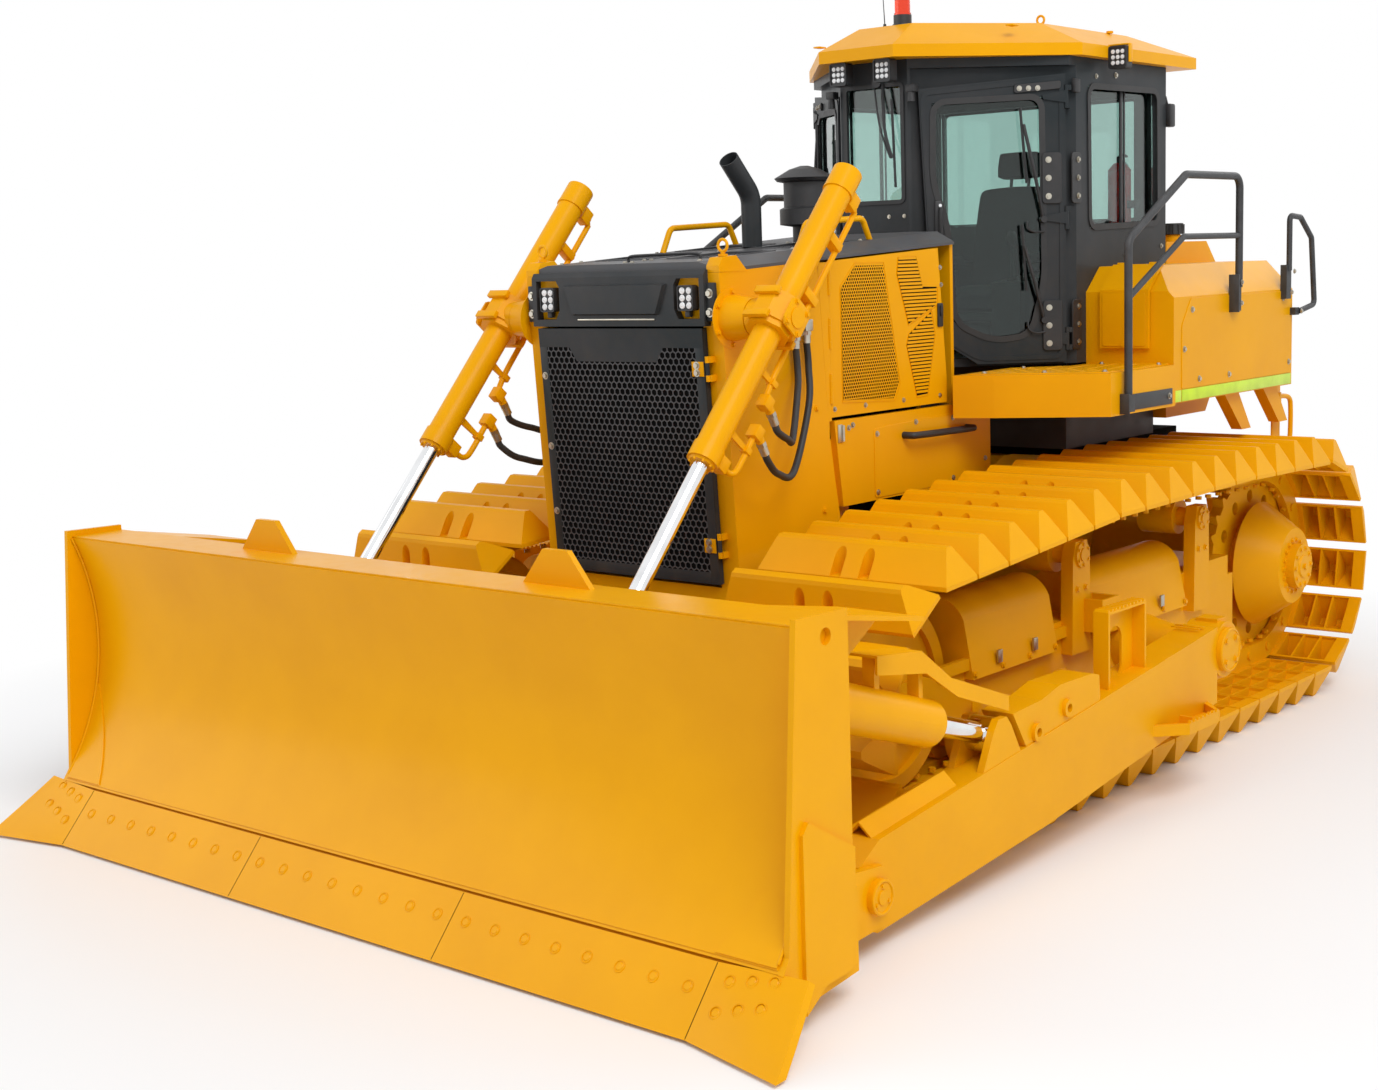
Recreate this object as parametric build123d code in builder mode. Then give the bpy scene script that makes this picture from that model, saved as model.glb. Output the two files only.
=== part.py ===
from build123d import *
from math import asin, atan2, cos, degrees, hypot, pi, radians, sin
import os

# Crawler bulldozer with swamp tracks, straight blade and hexagonal cab.
# Frame: +Z up from the ground, the machine faces -Y, its left side is +X, x = 0 on the centreline.
# Lengths are millimetres, angles degrees.

os.makedirs("parts", exist_ok=True)

# ---------------------------------------------------------------- driving dimensions
front_reach = 3100          # origin to the tips of the end bits
rear_reach = 3100           # origin to the end of the drawbar

track_gauge = 2290          # between the track centrelines
shoe_width = 914
shoe_count = 43
shoe_height = 144           # shoe plate to grouser tip
shoe_wall, shoe_rib = 12, 10
shoe_seat_half = 118        # solid part of a shoe over the links
bolt_slot_radius = 26
bushing_radius, pin_radius = 24, 22
link_above = 60             # pin line to shoe plate
link_below = 50             # pin line to rail surface
idler_y, idler_radius = -1117, 441          # radii to the pin line
sprocket_y, sprocket_radius = 2350, 491
carrier_points = [(190, 1191), (1390, 1206)]    # y, z of the pin line over each carrier roller
link_half_gap = 40          # track centreline to the inner face of a link rail
link_thickness = 48

blade_half_width = 1995     # moldboard, without its end plates
blade_top_z = 1286
blade_top_y = -2701
edge_bottom = (-3010, 11)   # y, z of the cutting edge's front bottom line
edge_top = (-2837, 211)
edge_thickness = 25
edge_segment = 1174         # length of one of the three cutting-edge segments
moldboard_sag = 150         # depth of the curve behind the chord
moldboard_plate = 22
end_plate_thickness = 22
end_bit_reach = 2193        # centreline to the outer tip of an end bit

trunnion_y, trunnion_z = 700, 580           # push-arm pivot
trunnion_radius = 78
arm_clearance, arm_width = 48, 165           # between the shoes' ends and an arm
arm_depth_rear, arm_depth_front = 336, 330
arm_front_y, arm_front_z = -2089, 225       # pin at the front of the arm

lift_x = 770                                # cylinder centreline
lift_pivot_y, lift_pivot_z = -1210, 2160    # where the barrel swings
lift_eye_y, lift_eye_z = -2404, 820         # rod eye behind the blade
barrel_radius, barrel_bore = 59, 49
barrel_above, barrel_below = 770, 712       # barrel length each side of the pivot
rod_radius = 33
rod_hidden = 460                            # rod length inside the barrel at rest
running_gap = 0.5                           # radial, at pins and rods
seat_gap = 0.3                              # where one fixed piece rests on another
door_gap = 6                                # round doors and covers

guard_half_width = 550
guard_front_y = -1205                       # at the guard's foot
guard_top_z, guard_bottom_z = 2345, 900
guard_rear_y = -630
nose_lean = 3.2                             # the nose leans forward at the top
guard_plate = 30
grille_half_width = 470
grille_bottom_z, grille_top_z = 1060, 2125
grille_thickness = 25
bezel_top_z = 2358
hood_rear_y = 300
hood_side_bottom_z = 1700
hood_rear_z = 2440                          # side edge of the hood top at the cab
hood_crown = 62                             # crown above the side edge
door_sheet = 14

cab_front_y, cab_pillar_y, cab_rear_y = 585, 1130, 2150
cab_front_half, cab_half = 200, 775
cab_floor_z, cab_top_z = 1835, 3325
cab_wall = 60
cab_door_thickness = 42
glass_thickness = 8
roof_band = 58
roof_crown_z = 3505

platform_z = 1825
platform_depth = 200
fender_width = 480
fender_front_y, fender_rear_y = 1290, 2690
fender_bottom_z, fender_top_z = 1635, 2305

hull_half_width = 340
hull_front_y, hull_rear_y = -1195, 2560
hull_bottom_z, hull_top_z = 430, 1290

# ---------------------------------------------------------------- values that follow
track_x = track_gauge / 2
track_inner_x, track_outer_x = track_x - shoe_width / 2, track_x + shoe_width / 2
arm_inner_x = track_outer_x + arm_clearance
arm_outer_x = arm_inner_x + arm_width
fender_outer_x = cab_half + fender_width
grouser_offset = link_above + shoe_height   # pin line to grouser tip
idler_z = idler_radius + grouser_offset
sprocket_z = sprocket_radius + grouser_offset
rail_z = grouser_offset + link_below        # rail surface of the bottom run


def save(part, name):
    """Label a finished piece and write it as its own STEP file."""
    part.label = name
    export_step(part, f"parts/{name}.step")


def side_plate(points, x, width):
    """A plate or block with a side outline of (y, z) points, from x to x + width."""
    with BuildPart() as plate:
        with BuildSketch(Plane.YZ.offset(x)):
            with BuildLine():
                Polyline(*points, close=True)
            make_face()
        extrude(amount=width)
    return plate.part


def flat_plate(points, z, height):
    """A plate or block with a plan outline of (x, y) points, from z to z + height."""
    with BuildPart() as plate:
        with BuildSketch(Plane.XY.offset(z)):
            with BuildLine():
                Polyline(*points, close=True)
            make_face()
        extrude(amount=height)
    return plate.part


def cross_cylinder(radius, x0, x1, y, z):
    """A round bar along X."""
    with BuildPart() as bar:
        with BuildSketch(Plane.YZ.offset(x0)):
            with Locations((y, z)):
                Circle(radius)
        extrude(amount=x1 - x0)
    return bar.part


def block(x0, x1, y0, y1, z0, z1):
    """A rectangular block between two corners."""
    with BuildPart() as body:
        with Locations(((x0 + x1) / 2, (y0 + y1) / 2, (z0 + z1) / 2)):
            Box(x1 - x0, y1 - y0, z1 - z0)
    return body.part


def both_sides(part):
    """A piece and its mirror image about the centre plane."""
    return [part, mirror(part, about=Plane.YZ)]


def tube_along(points, bend, radius):
    """A round tube along a path with tangent bends of one radius."""
    path = FilletPolyline(*points, radius=bend)
    start = path @ 0
    with BuildPart() as tube:
        with BuildSketch(Plane(origin=start, z_dir=path % 0)):
            Circle(radius)
        sweep(path=path)
    return tube.part


# ---------------------------------------------------------------- undercarriage
def tangent_point(centre, radius, point, side):
    """Where a line from a point touches a circle, on the upper (+1) or lower (-1) side."""
    dy, dz = point[0] - centre[0], point[1] - centre[1]
    distance = hypot(dy, dz)
    turn = atan2(dz, dy) + side * (pi / 2 - asin(radius / distance))
    return (centre[0] + radius * cos(turn), centre[1] + radius * sin(turn))


def track_path(offset):
    """The closed pin line of a track, moved outwards by an offset, as a list of edges."""
    idler, sprocket = (idler_y, idler_z), (sprocket_y, sprocket_z)
    first, last = [(y, z + offset) for y, z in carrier_points]
    r_idler, r_sprocket = idler_radius + offset, sprocket_radius + offset
    up = tangent_point(idler, r_idler, first, 1)
    down = tangent_point(sprocket, r_sprocket, last, -1)
    low_front, low_rear = (idler_y, idler_z - r_idler), (sprocket_y, sprocket_z - r_sprocket)
    front, rear = (idler_y - r_idler, idler_z), (sprocket_y + r_sprocket, sprocket_z)
    return [
        Line(low_rear, low_front),
        ThreePointArc(low_front, front, up),
        Line(up, first),
        Line(first, last),
        Line(last, down),
        ThreePointArc(down, rear, low_rear),
    ]


def shoe_section():
    """Section of a swamp shoe about its own pin: x along the track, y outwards."""
    half_base = 0.472 * shoe_pitch
    tip_half, tip_round = 26, 12
    with BuildSketch(mode=Mode.PRIVATE) as section:
        with BuildLine():
            Polyline(
                (-half_base, link_above - 6),
                (-half_base, link_above + 12),
                (-tip_half, grouser_offset - tip_round),
                (-tip_half + tip_round, grouser_offset),
                (tip_half - tip_round, grouser_offset),
                (tip_half, grouser_offset - tip_round),
                (half_base, link_above + 12),
                (half_base, link_above - 6),
                close=True,
            )
        make_face()
    return section.sketch


pin_wire = Wire(track_path(0))
shoe_pitch = pin_wire.length / shoe_count

def shoe_cells(side):
    """The hollow cells on one side of a shoe, open towards the pins and parted by ribs."""
    half_base, crest_half = 0.472 * shoe_pitch - shoe_wall, 26 - shoe_wall / 2
    far = shoe_width / 2 - 52 - shoe_wall
    cell = (far - shoe_seat_half - 2 * shoe_rib) / 3
    cells = []
    for k in range(3):
        near_x = shoe_seat_half + k * (cell + shoe_rib)
        x0 = track_x + (near_x if side > 0 else -near_x - cell)
        trough = [(-half_base, link_above - 7), (half_base, link_above - 7), (half_base, link_above + 10),
                  (crest_half, grouser_offset - shoe_wall - 8), (-crest_half, grouser_offset - shoe_wall - 8),
                  (-half_base, link_above + 10)]
        cells.append(side_plate(trough, x0, cell))
    return cells


with BuildPart() as shoe:
    with BuildSketch(Plane.YZ.offset(track_x - shoe_width / 2)):
        add(shoe_section())
    extrude(amount=shoe_width)
    for end in (-1, 1):
        edge_x = track_x + end * shoe_width / 2
        with BuildSketch(Plane.XZ.offset(-shoe_pitch)):
            with BuildLine():
                Polyline(
                    (edge_x, link_above + 12),
                    (edge_x - end * 52, grouser_offset + 1),
                    (edge_x + end, grouser_offset + 1),
                    close=True,
                )
            make_face()
        extrude(amount=2 * shoe_pitch, mode=Mode.SUBTRACT)
        for trough in shoe_cells(end):
            add(trough, mode=Mode.SUBTRACT)
        # round-ended slots over the link bolts, on both slopes of the grouser
        for slope in (-1, 1):
            with BuildSketch(Plane.XY.offset(link_above + 12)):
                with Locations((track_x + end * 68, slope * 60)):
                    Circle(bolt_slot_radius)
                with Locations((track_x + end * 68, slope * 90)):
                    Rectangle(2 * bolt_slot_radius, 60)
            extrude(amount=shoe_height, mode=Mode.SUBTRACT)

shoes = []
pins = []
for k in range(shoe_count):
    along = k / shoe_count
    point = pin_wire @ along
    heading = pin_wire % along
    turn = degrees(atan2(heading.Y, heading.X))
    placed = shoe.part.rotate(Axis.X, turn)
    shoes.append(placed.moved(Location((0, point.X, point.Y))))
    joint = pin_wire @ ((k + 0.5) / shoe_count)
    pins.append((joint.X, joint.Y))

rails = []
for side in (-1, 1):
    x0 = track_x + side * (link_half_gap + link_thickness / 2) - link_thickness / 2
    with BuildPart() as rail:
        with BuildSketch(Plane.YZ.offset(x0)):
            with BuildLine():
                add(track_path(link_above + 2))
            make_face()
            with BuildLine():
                add(track_path(-link_below))
            make_face(mode=Mode.SUBTRACT)
        extrude(amount=link_thickness)
    rails.append(rail.part)

# link pins with their heads outside the rails, and bushings between the rails
pin_half = link_half_gap + link_thickness + 8
link_pins = []
for y, z in pins:
    link_pins.append(cross_cylinder(bushing_radius, track_x - link_half_gap - 1, track_x + link_half_gap + 1, y, z))
    for x0, x1 in ((-pin_half, 2 - pin_half + 8), (pin_half - 10, pin_half)):
        link_pins.append(cross_cylinder(pin_radius, track_x + x0, track_x + x1, y, z))

with BuildPart() as track:
    add(rails)
    add(shoes)
    add(link_pins)
save(track.part, "track_left")
save(mirror(track.part, about=Plane.YZ), "track_right")

frame_half, frame_side = 160, 28            # track frame: half width and side plate
hub_half = frame_half - frame_side - seat_gap

# idler: rim between the rails, a wider tread on each side and a hub
tread = idler_radius - link_below - 1
idler_parts = []
for half_width, radius in ((link_half_gap - 4, tread + 24), (link_half_gap + link_thickness, tread), (hub_half, 110)):
    idler_parts.append(cross_cylinder(radius, track_x - half_width, track_x + half_width, idler_y, idler_z))
with BuildPart() as idler:
    add(idler_parts)
    for face_x in (track_x - 88, track_x + 60):
        with BuildSketch(Plane.YZ.offset(face_x)):
            with Locations((idler_y, idler_z)):
                Circle(tread - 60)
                Circle(170, mode=Mode.SUBTRACT)
        extrude(amount=28, mode=Mode.SUBTRACT)
save(Compound(both_sides(idler.part)), "idlers")

# sprocket: a toothed ring between the rails, a tooth to each half pitch, a gap at each bushing
tooth_count = round(4 * pi * sprocket_radius / shoe_pitch)
rear_pin = max(pins, key=lambda pin: pin[0])
gap_turn = degrees(atan2(rear_pin[1] - sprocket_z, rear_pin[0] - sprocket_y))
root_radius = sprocket_radius - bushing_radius - 3
with BuildPart() as sprocket:
    with BuildSketch(Plane.YZ.offset(track_x - 30)):
        with Locations((sprocket_y, sprocket_z)):
            Circle(root_radius)
            with PolarLocations(root_radius + 18, tooth_count, start_angle=gap_turn + 180 / tooth_count):
                Trapezoid(58, 42, 62, rotation=-90)
            Circle(250, mode=Mode.SUBTRACT)
            with PolarLocations(360, 12):
                Circle(34, mode=Mode.SUBTRACT)
    extrude(amount=60)
save(Compound(both_sides(sprocket.part)), "sprockets")

# final drives: the axle housing inboard, a domed cover and hub cap outboard
dome_x = track_x + 285
with BuildPart() as final_drive:
    with BuildSketch(Plane.YZ.offset(hull_half_width)):
        with Locations((sprocket_y, sprocket_z)):
            Circle(235)
    extrude(amount=track_x - 31 - hull_half_width)
    with BuildSketch(Plane.YZ.offset(track_x - 31)):
        with Locations((sprocket_y, sprocket_z)):
            Circle(249)
    extrude(amount=120)
    with BuildSketch(Plane.YZ.offset(track_x + 89)):
        with Locations((sprocket_y, sprocket_z)):
            Circle(330)
    with BuildSketch(Plane.YZ.offset(dome_x)):
        with Locations((sprocket_y, sprocket_z)):
            Circle(200)
    loft()
    with BuildSketch(Plane.YZ.offset(dome_x)):
        with Locations((sprocket_y, sprocket_z)):
            Circle(120)
    extrude(amount=50)
save(Compound(both_sides(final_drive.part)), "final_drives")

# track rollers and carrier rollers
roller_radius, roller_count = 105, 8
roller_z = rail_z + roller_radius + seat_gap
first_roller_y, last_roller_y = idler_y + 560, sprocket_y - 560
rollers = []
for k in range(roller_count):
    y = first_roller_y + k * (last_roller_y - first_roller_y) / (roller_count - 1)
    with BuildPart() as roller:
        with BuildSketch(Plane.YZ.offset(track_x - hub_half)):
            with Locations((y, roller_z)):
                Circle(50)
        extrude(amount=2 * hub_half)
        for x0 in (track_x - 90, track_x + 40):
            with BuildSketch(Plane.YZ.offset(x0)):
                with Locations((y, roller_z)):
                    Circle(roller_radius)
            extrude(amount=50)
    rollers += both_sides(roller.part)
carrier_radius = 88
carriers = []
for y, z in carrier_points:
    axis_z = z - link_below - carrier_radius - seat_gap
    with BuildPart() as carrier:
        with BuildSketch(Plane.YZ.offset(track_x - 95)):
            with Locations((y, axis_z)):
                Circle(carrier_radius)
        extrude(amount=190)
        with BuildSketch(Plane.YZ.offset(track_x + 95)):
            with Locations((y, axis_z)):
                Circle(46)
        extrude(amount=61 - seat_gap)
    carriers += both_sides(carrier.part)
save(Compound(rollers + carriers), "track_rollers")

# track frame: a box beam over the rollers, with roller guards, carrier posts and the trunnion
beam_bottom, beam_top = roller_z + roller_radius + 12, 760
beam_front_y, beam_rear_y = idler_y + idler_radius + 10, sprocket_y - sprocket_radius - 55
with BuildPart() as track_frame:
    with BuildSketch(Plane.YZ.offset(track_x - frame_half)):
        with BuildLine():
            Polyline(
                (beam_front_y, beam_bottom), (beam_rear_y, beam_bottom), (beam_rear_y, beam_top + 60),
                (beam_rear_y - 420, beam_top + 60), (beam_rear_y - 700, beam_top),
                (beam_front_y + 60, beam_top), (beam_front_y, beam_top - 60), close=True,
            )
        make_face()
    extrude(amount=2 * frame_half)
    # roller guards on both sides, open between for the rollers
    for x0 in (track_x - frame_half, track_x + frame_half - frame_side):
        with BuildSketch(Plane.YZ.offset(x0)):
            with BuildLine():
                Polyline(
                    (idler_y - 60, idler_z - 70), (idler_y - 60, idler_z + 70), (beam_front_y + 30, beam_top - 40),
                    (beam_rear_y + 60, beam_top - 40), (beam_rear_y + 60, beam_bottom), (last_roller_y + 90, rail_z + 50),
                    (first_roller_y - 90, rail_z + 50), (beam_front_y, beam_bottom), close=True,
                )
            make_face()
        extrude(amount=frame_side)
    for y, z in carrier_points:
        axis_z = z - link_below - carrier_radius - seat_gap
        with BuildSketch(Plane.YZ.offset(track_x + 156)):
            with BuildLine():
                Polyline(
                    (y - 85, beam_top - 150), (y + 85, beam_top - 150), (y + 75, axis_z - 20),
                    (y + 50, axis_z + 62), (y - 50, axis_z + 62), (y - 75, axis_z - 20), close=True,
                )
            make_face()
        extrude(amount=60)
    with BuildSketch(Plane.YZ.offset(track_x + frame_half)):
        with Locations((trunnion_y, trunnion_z)):
            Circle(150)
    with BuildSketch(Plane.YZ.offset(arm_inner_x - 60)):
        with Locations((trunnion_y, trunnion_z)):
            Circle(trunnion_radius)
    loft()
    with BuildSketch(Plane.YZ.offset(arm_inner_x - 60)):
        with Locations((trunnion_y, trunnion_z)):
            Circle(trunnion_radius)
    extrude(amount=60 + arm_width + running_gap)
    with BuildSketch(Plane.YZ.offset(arm_outer_x + running_gap)):
        with Locations((trunnion_y, trunnion_z)):
            Circle(trunnion_radius + 24)
    extrude(amount=22)
    # a bar along the side plate and a step socket over the trunnion
    add(block(track_x + frame_half - 1, track_x + frame_half + 26, -900, trunnion_y - 160, beam_top - 70, beam_top - 20))
    socket = [(trunnion_y - 490, beam_top - 60), (trunnion_y - 490, beam_top + 90), (trunnion_y - 330, beam_top + 90),
              (trunnion_y - 250, beam_top - 20), (trunnion_y - 250, beam_top - 60)]
    add(side_plate(socket, track_x + frame_half - 1, 150))
    add(block(track_x + frame_half + 20, track_x + frame_half + 138, trunnion_y - 478, trunnion_y - 350,
              beam_top + 20, beam_top + 91), mode=Mode.SUBTRACT)
save(Compound(both_sides(track_frame.part)), "track_frames")

# recoil covers: rounded hoods over the recoil springs and the chain guides
covers = []
for y0, y1, top in ((idler_y + idler_radius - 14, 0, 985), (300, 1250, 960)):
    with BuildPart() as cover:
        with BuildSketch(Plane.XZ.offset(-y0)):
            with BuildLine():
                Polyline((track_x + 205, beam_top - 110), (track_x - 100, beam_top - 110), (track_x - 100, top - 60))
                ThreePointArc((track_x - 100, top - 60), (track_x + 40, top), (track_x + 160, top - 90))
                Line((track_x + 160, top - 90), (track_x + 205, beam_top - 110))
            make_face()
        extrude(amount=-(y1 - y0))
    with BuildPart() as seated:
        add(cover.part)
        add(track_frame.part, mode=Mode.SUBTRACT)
    covers += both_sides(seated.part)
save(Compound(covers), "recoil_covers")

hull_step_y = hull_front_y + 122


def hull_deck_z(y):
    """Top of the hull under the engine."""
    share = (y - hull_step_y) / (900 - hull_step_y)
    return guard_bottom_z + 20 + share * (hull_top_z - 60 - guard_bottom_z - 20)


# hull between the tracks, pivot shaft and equaliser bar that carry the track frames
with BuildPart() as hull:
    with BuildSketch(Plane.YZ.offset(-hull_half_width)):
        with BuildLine():
            Polyline(
                (hull_front_y, 640), (hull_front_y + 420, hull_bottom_z), (hull_rear_y - 300, hull_bottom_z),
                (hull_rear_y, 620), (hull_rear_y, hull_top_z + 60), (1200, hull_top_z + 60),
                (900, hull_top_z - 60), (hull_step_y, guard_bottom_z + 20), (hull_step_y, guard_bottom_z - seat_gap),
                (hull_front_y, guard_bottom_z - seat_gap), close=True,
            )
        make_face()
    extrude(amount=2 * hull_half_width)
save(hull.part, "main_frame")

pivot_y, equaliser_y = 1650, -420
cross_bars = []
for y, z, radius in ((pivot_y, 620, 85), (equaliser_y, 700, 70)):
    for x0, x1 in ((hull_half_width, track_x - frame_half), (-(track_x - frame_half), -hull_half_width)):
        cross_bars.append(cross_cylinder(radius, x0, x1, y, z))
save(Compound(cross_bars), "pivot_shafts")

# drawbar: two jaws with a pin bore behind the hull
drawbar_pin_y, drawbar_pin_radius = rear_reach - 90, 32
drawbar_plates = []
for z in (520, 660):
    with BuildPart() as jaw:
        with BuildSketch(Plane.XY.offset(z)):
            with BuildLine():
                Polyline((-170, hull_rear_y), (170, hull_rear_y), (90, rear_reach - 90), (90, rear_reach), (-90, rear_reach),
                         (-90, rear_reach - 90), close=True)
            make_face()
            with Locations((0, drawbar_pin_y)):
                Circle(drawbar_pin_radius, mode=Mode.SUBTRACT)
        extrude(amount=40)
    drawbar_plates.append(jaw.part)
with BuildPart() as drawbar:
    add(drawbar_plates)
    add(block(-200, 200, hull_rear_y - 1, hull_rear_y + 40, 480, 740))
    add(block(-60, 60, hull_rear_y + 39, hull_rear_y + 200, 560, 660))
    add(hull.part, mode=Mode.SUBTRACT)
save(drawbar.part, "drawbar")

# ---------------------------------------------------------------- nose, hood and engine
lean = sin(radians(nose_lean))


def nose_y(z):
    """Front face of the leaning nose at a height."""
    return guard_front_y - (z - guard_bottom_z) * lean


# radiator guard: two side plates, cross members top and bottom, a rear frame
guard_outline = [
    (nose_y(guard_bottom_z), guard_bottom_z), (nose_y(guard_top_z), guard_top_z),
    (guard_rear_y, guard_top_z), (guard_rear_y + 60, 1600), (guard_rear_y + 190, guard_bottom_z),
]
with BuildPart() as guard:
    for x0 in (-guard_half_width, guard_half_width - guard_plate):
        add(side_plate(guard_outline, x0, guard_plate))
    for z0, z1 in ((guard_bottom_z, grille_bottom_z - 20), (grille_top_z + 15, guard_top_z)):
        beam = [(nose_y(z0), z0), (nose_y(z1), z1), (nose_y(z1) + 120, z1), (nose_y(z0) + 120, z0)]
        add(side_plate(beam, 1 - guard_half_width, 2 * guard_half_width - 2))
    post = [(nose_y(guard_bottom_z), guard_bottom_z), (nose_y(guard_top_z), guard_top_z),
            (nose_y(guard_top_z) + 60, guard_top_z), (nose_y(guard_bottom_z) + 60, guard_bottom_z)]
    for x0 in (-guard_half_width + 1, guard_half_width - 101):
        add(side_plate(post, x0, 100))
# bosses on the guard sides that carry the lift cylinders
boss_reach = lift_x - barrel_radius - 42
with BuildPart() as boss:
    with BuildSketch(Plane.YZ.offset(guard_half_width)):
        with Locations((lift_pivot_y, lift_pivot_z)):
            Circle(95)
    with BuildSketch(Plane.YZ.offset(boss_reach)):
        with Locations((lift_pivot_y, lift_pivot_z)):
            Circle(80)
    loft()
    with BuildSketch(Plane.YZ.offset(boss_reach)):
        with Locations((lift_pivot_y, lift_pivot_z)):
            Circle(30)
    extrude(amount=36)
# radiator core behind the grille
core_bottom_z = grille_bottom_z - 20 + seat_gap
core = [(nose_y(core_bottom_z) + 70, core_bottom_z), (nose_y(grille_top_z) + 70, grille_top_z),
        (nose_y(grille_top_z) + 210, grille_top_z), (nose_y(core_bottom_z) + 210, core_bottom_z)]
save(side_plate(core, -guard_half_width + 102, 2 * guard_half_width - 204), "radiator_core")

# nose bezel above the grille, with two lamp pockets
bezel_depth = 40
bezel_half = 490
bezel_low_z = grille_top_z + 6
lamp_x, lamp_z = 395, 2245
with BuildPart() as bezel:
    with BuildSketch(Plane.YZ.offset(-bezel_half)):
        with BuildLine():
            z0, z1 = bezel_low_z, bezel_top_z
            Polyline((nose_y(z0), z0), (nose_y(z0) - bezel_depth, z0), (nose_y(z1) - bezel_depth + 12, z1 - 20),
                     (nose_y(z1) - bezel_depth + 26, z1), (nose_y(z1), z1), close=True)
        make_face()
    extrude(amount=2 * bezel_half)
    # raised centre that tapers to the lamps, its top edge sloping back
    with BuildSketch(Plane.XZ.offset(-nose_y(bezel_low_z) + bezel_depth - 20)):
        with BuildLine():
            Polyline((-245, bezel_low_z + 40), (245, bezel_low_z + 40), (300, bezel_top_z - 46),
                     (-300, bezel_top_z - 46), close=True)
        make_face()
    extrude(amount=38, taper=18)
    # lamp recesses with clipped corners
    with BuildSketch(Plane.XZ.offset(-nose_y(grille_top_z) + 2)):
        for side in (-1, 1):
            with BuildLine():
                Polyline((side * 465, 2160), (side * 350, 2160), (side * 328, 2200), (side * 328, 2300),
                         (side * 345, 2325), (side * 465, 2325), close=True)
            make_face()
    extrude(amount=120, mode=Mode.SUBTRACT)
save(bezel.part, "nose_bezel")

lamp_parts = []
for side in (-1, 1):
    with BuildPart() as lamp:
        with BuildSketch(Plane.XZ.offset(-nose_y(2300) + seat_gap)):
            with Locations((side * lamp_x, lamp_z)):
                RectangleRounded(84, 104, 14)
        extrude(amount=34)
    lamp_parts.append(lamp.part)
save(Compound(lamp_parts), "headlamps")

# grille door: a frame with a field of hexagonal holes behind the bars, hinged on its left edge
grille_front_gap = door_gap
grille_plane = Plane(
    origin=(0, nose_y(grille_bottom_z) - grille_front_gap, grille_bottom_z), x_dir=(1, 0, 0),
    z_dir=(0, -cos(radians(nose_lean)), -sin(radians(nose_lean))),
)
grille_height = grille_top_z - grille_bottom_z
grille_hinge_x = grille_half_width + 12
knuckle_radius, knuckle_length, lug_length = 9, 50, 26
hinge_heights = (140, grille_height - 190)
with BuildPart() as grille_door:
    with BuildSketch(grille_plane):
        with Locations((0, grille_height / 2)):
            Rectangle(2 * grille_half_width, grille_height)
            for column in (-0.5, 0.5):
                with Locations((column * (grille_half_width - 55), 0)):
                    Rectangle(grille_half_width - 80, grille_height - 130, mode=Mode.SUBTRACT)
    extrude(amount=grille_thickness)
    with BuildSketch(grille_plane.offset(9)):
        with Locations((0, grille_height / 2)):
            Rectangle(2 * grille_half_width - 60, grille_height - 90)
    extrude(amount=6)
    # knuckles on the hinge line at the door's left edge
    for v in hinge_heights:
        with BuildSketch(grille_plane * Plane(origin=(0, v, 0), x_dir=(1, 0, 0), z_dir=(0, 1, 0))):
            with Locations((grille_hinge_x, -grille_thickness)):
                Circle(knuckle_radius)
            with Locations((grille_hinge_x - 14, -grille_thickness + 5)):
                Rectangle(28, 10)
        extrude(amount=knuckle_length)
save(grille_door.part, "grille_door")

# the guard with its bosses and the lugs of the grille's hinge
with BuildPart() as nose:
    add(guard.part)
    add(both_sides(boss.part))
    for v in hinge_heights:
        for v0 in (v - lug_length - seat_gap, v + knuckle_length + seat_gap):
            with BuildSketch(grille_plane * Plane(origin=(0, v0, 0), x_dir=(1, 0, 0), z_dir=(0, 1, 0))):
                with Locations((grille_hinge_x, -grille_thickness)):
                    Circle(knuckle_radius)
                with Locations((grille_hinge_x + 9, -(grille_thickness - grille_front_gap) / 2 + 1)):
                    Rectangle(18, grille_thickness + grille_front_gap + 2)
            extrude(amount=lug_length)
save(nose.part, "radiator_guard")

# hood top: faceted cap from the nose to the cab, with four louvre pockets
hood_front_y, hood_end_y = nose_y(guard_top_z) + 10, hood_rear_y + 240
hood_slope = (hood_rear_z - guard_top_z) / (hood_end_y - hood_front_y)
louvre_depth = 30


def hood_side_z(y):
    """Lower edge of the hood top at a place along the hood."""
    return guard_top_z + seat_gap + (y - hood_front_y) * hood_slope


def hood_crown_z(y):
    """Middle surface of the hood top."""
    share = (y - hood_front_y) / (hood_end_y - hood_front_y)
    return hood_side_z(y) + hood_crown * (0.72 + 0.28 * share)


with BuildPart() as hood:
    for y in (hood_front_y, hood_end_y):
        side_z, crown_z = hood_side_z(y), hood_crown_z(y)
        with BuildSketch(Plane.XZ.offset(-y)):
            with BuildLine():
                Polyline(
                    (-guard_half_width, side_z), (-guard_half_width, side_z + 12), (120 - guard_half_width, crown_z),
                    (guard_half_width - 120, crown_z), (guard_half_width, side_z + 12), (guard_half_width, side_z),
                    close=True,
                )
            make_face()
    loft(ruled=True)
    # rear corners cut back, clear of the cab doors' swing
    corner = flat_plate([(guard_half_width - 310, hood_end_y + 1), (guard_half_width + 1, hood_end_y - 100),
                         (guard_half_width + 1, hood_end_y + 1)], guard_top_z, 300)
    for solid in both_sides(corner):
        add(solid, mode=Mode.SUBTRACT)
    for y in (-860, -330):
        for x in (-210, 210):
            with BuildSketch(Plane.XY.offset(hood_crown_z(y) - louvre_depth)):
                with Locations((x, y)):
                    Rectangle(300, 330)
            extrude(amount=200, mode=Mode.SUBTRACT)
save(hood.part, "hood_top")

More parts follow.
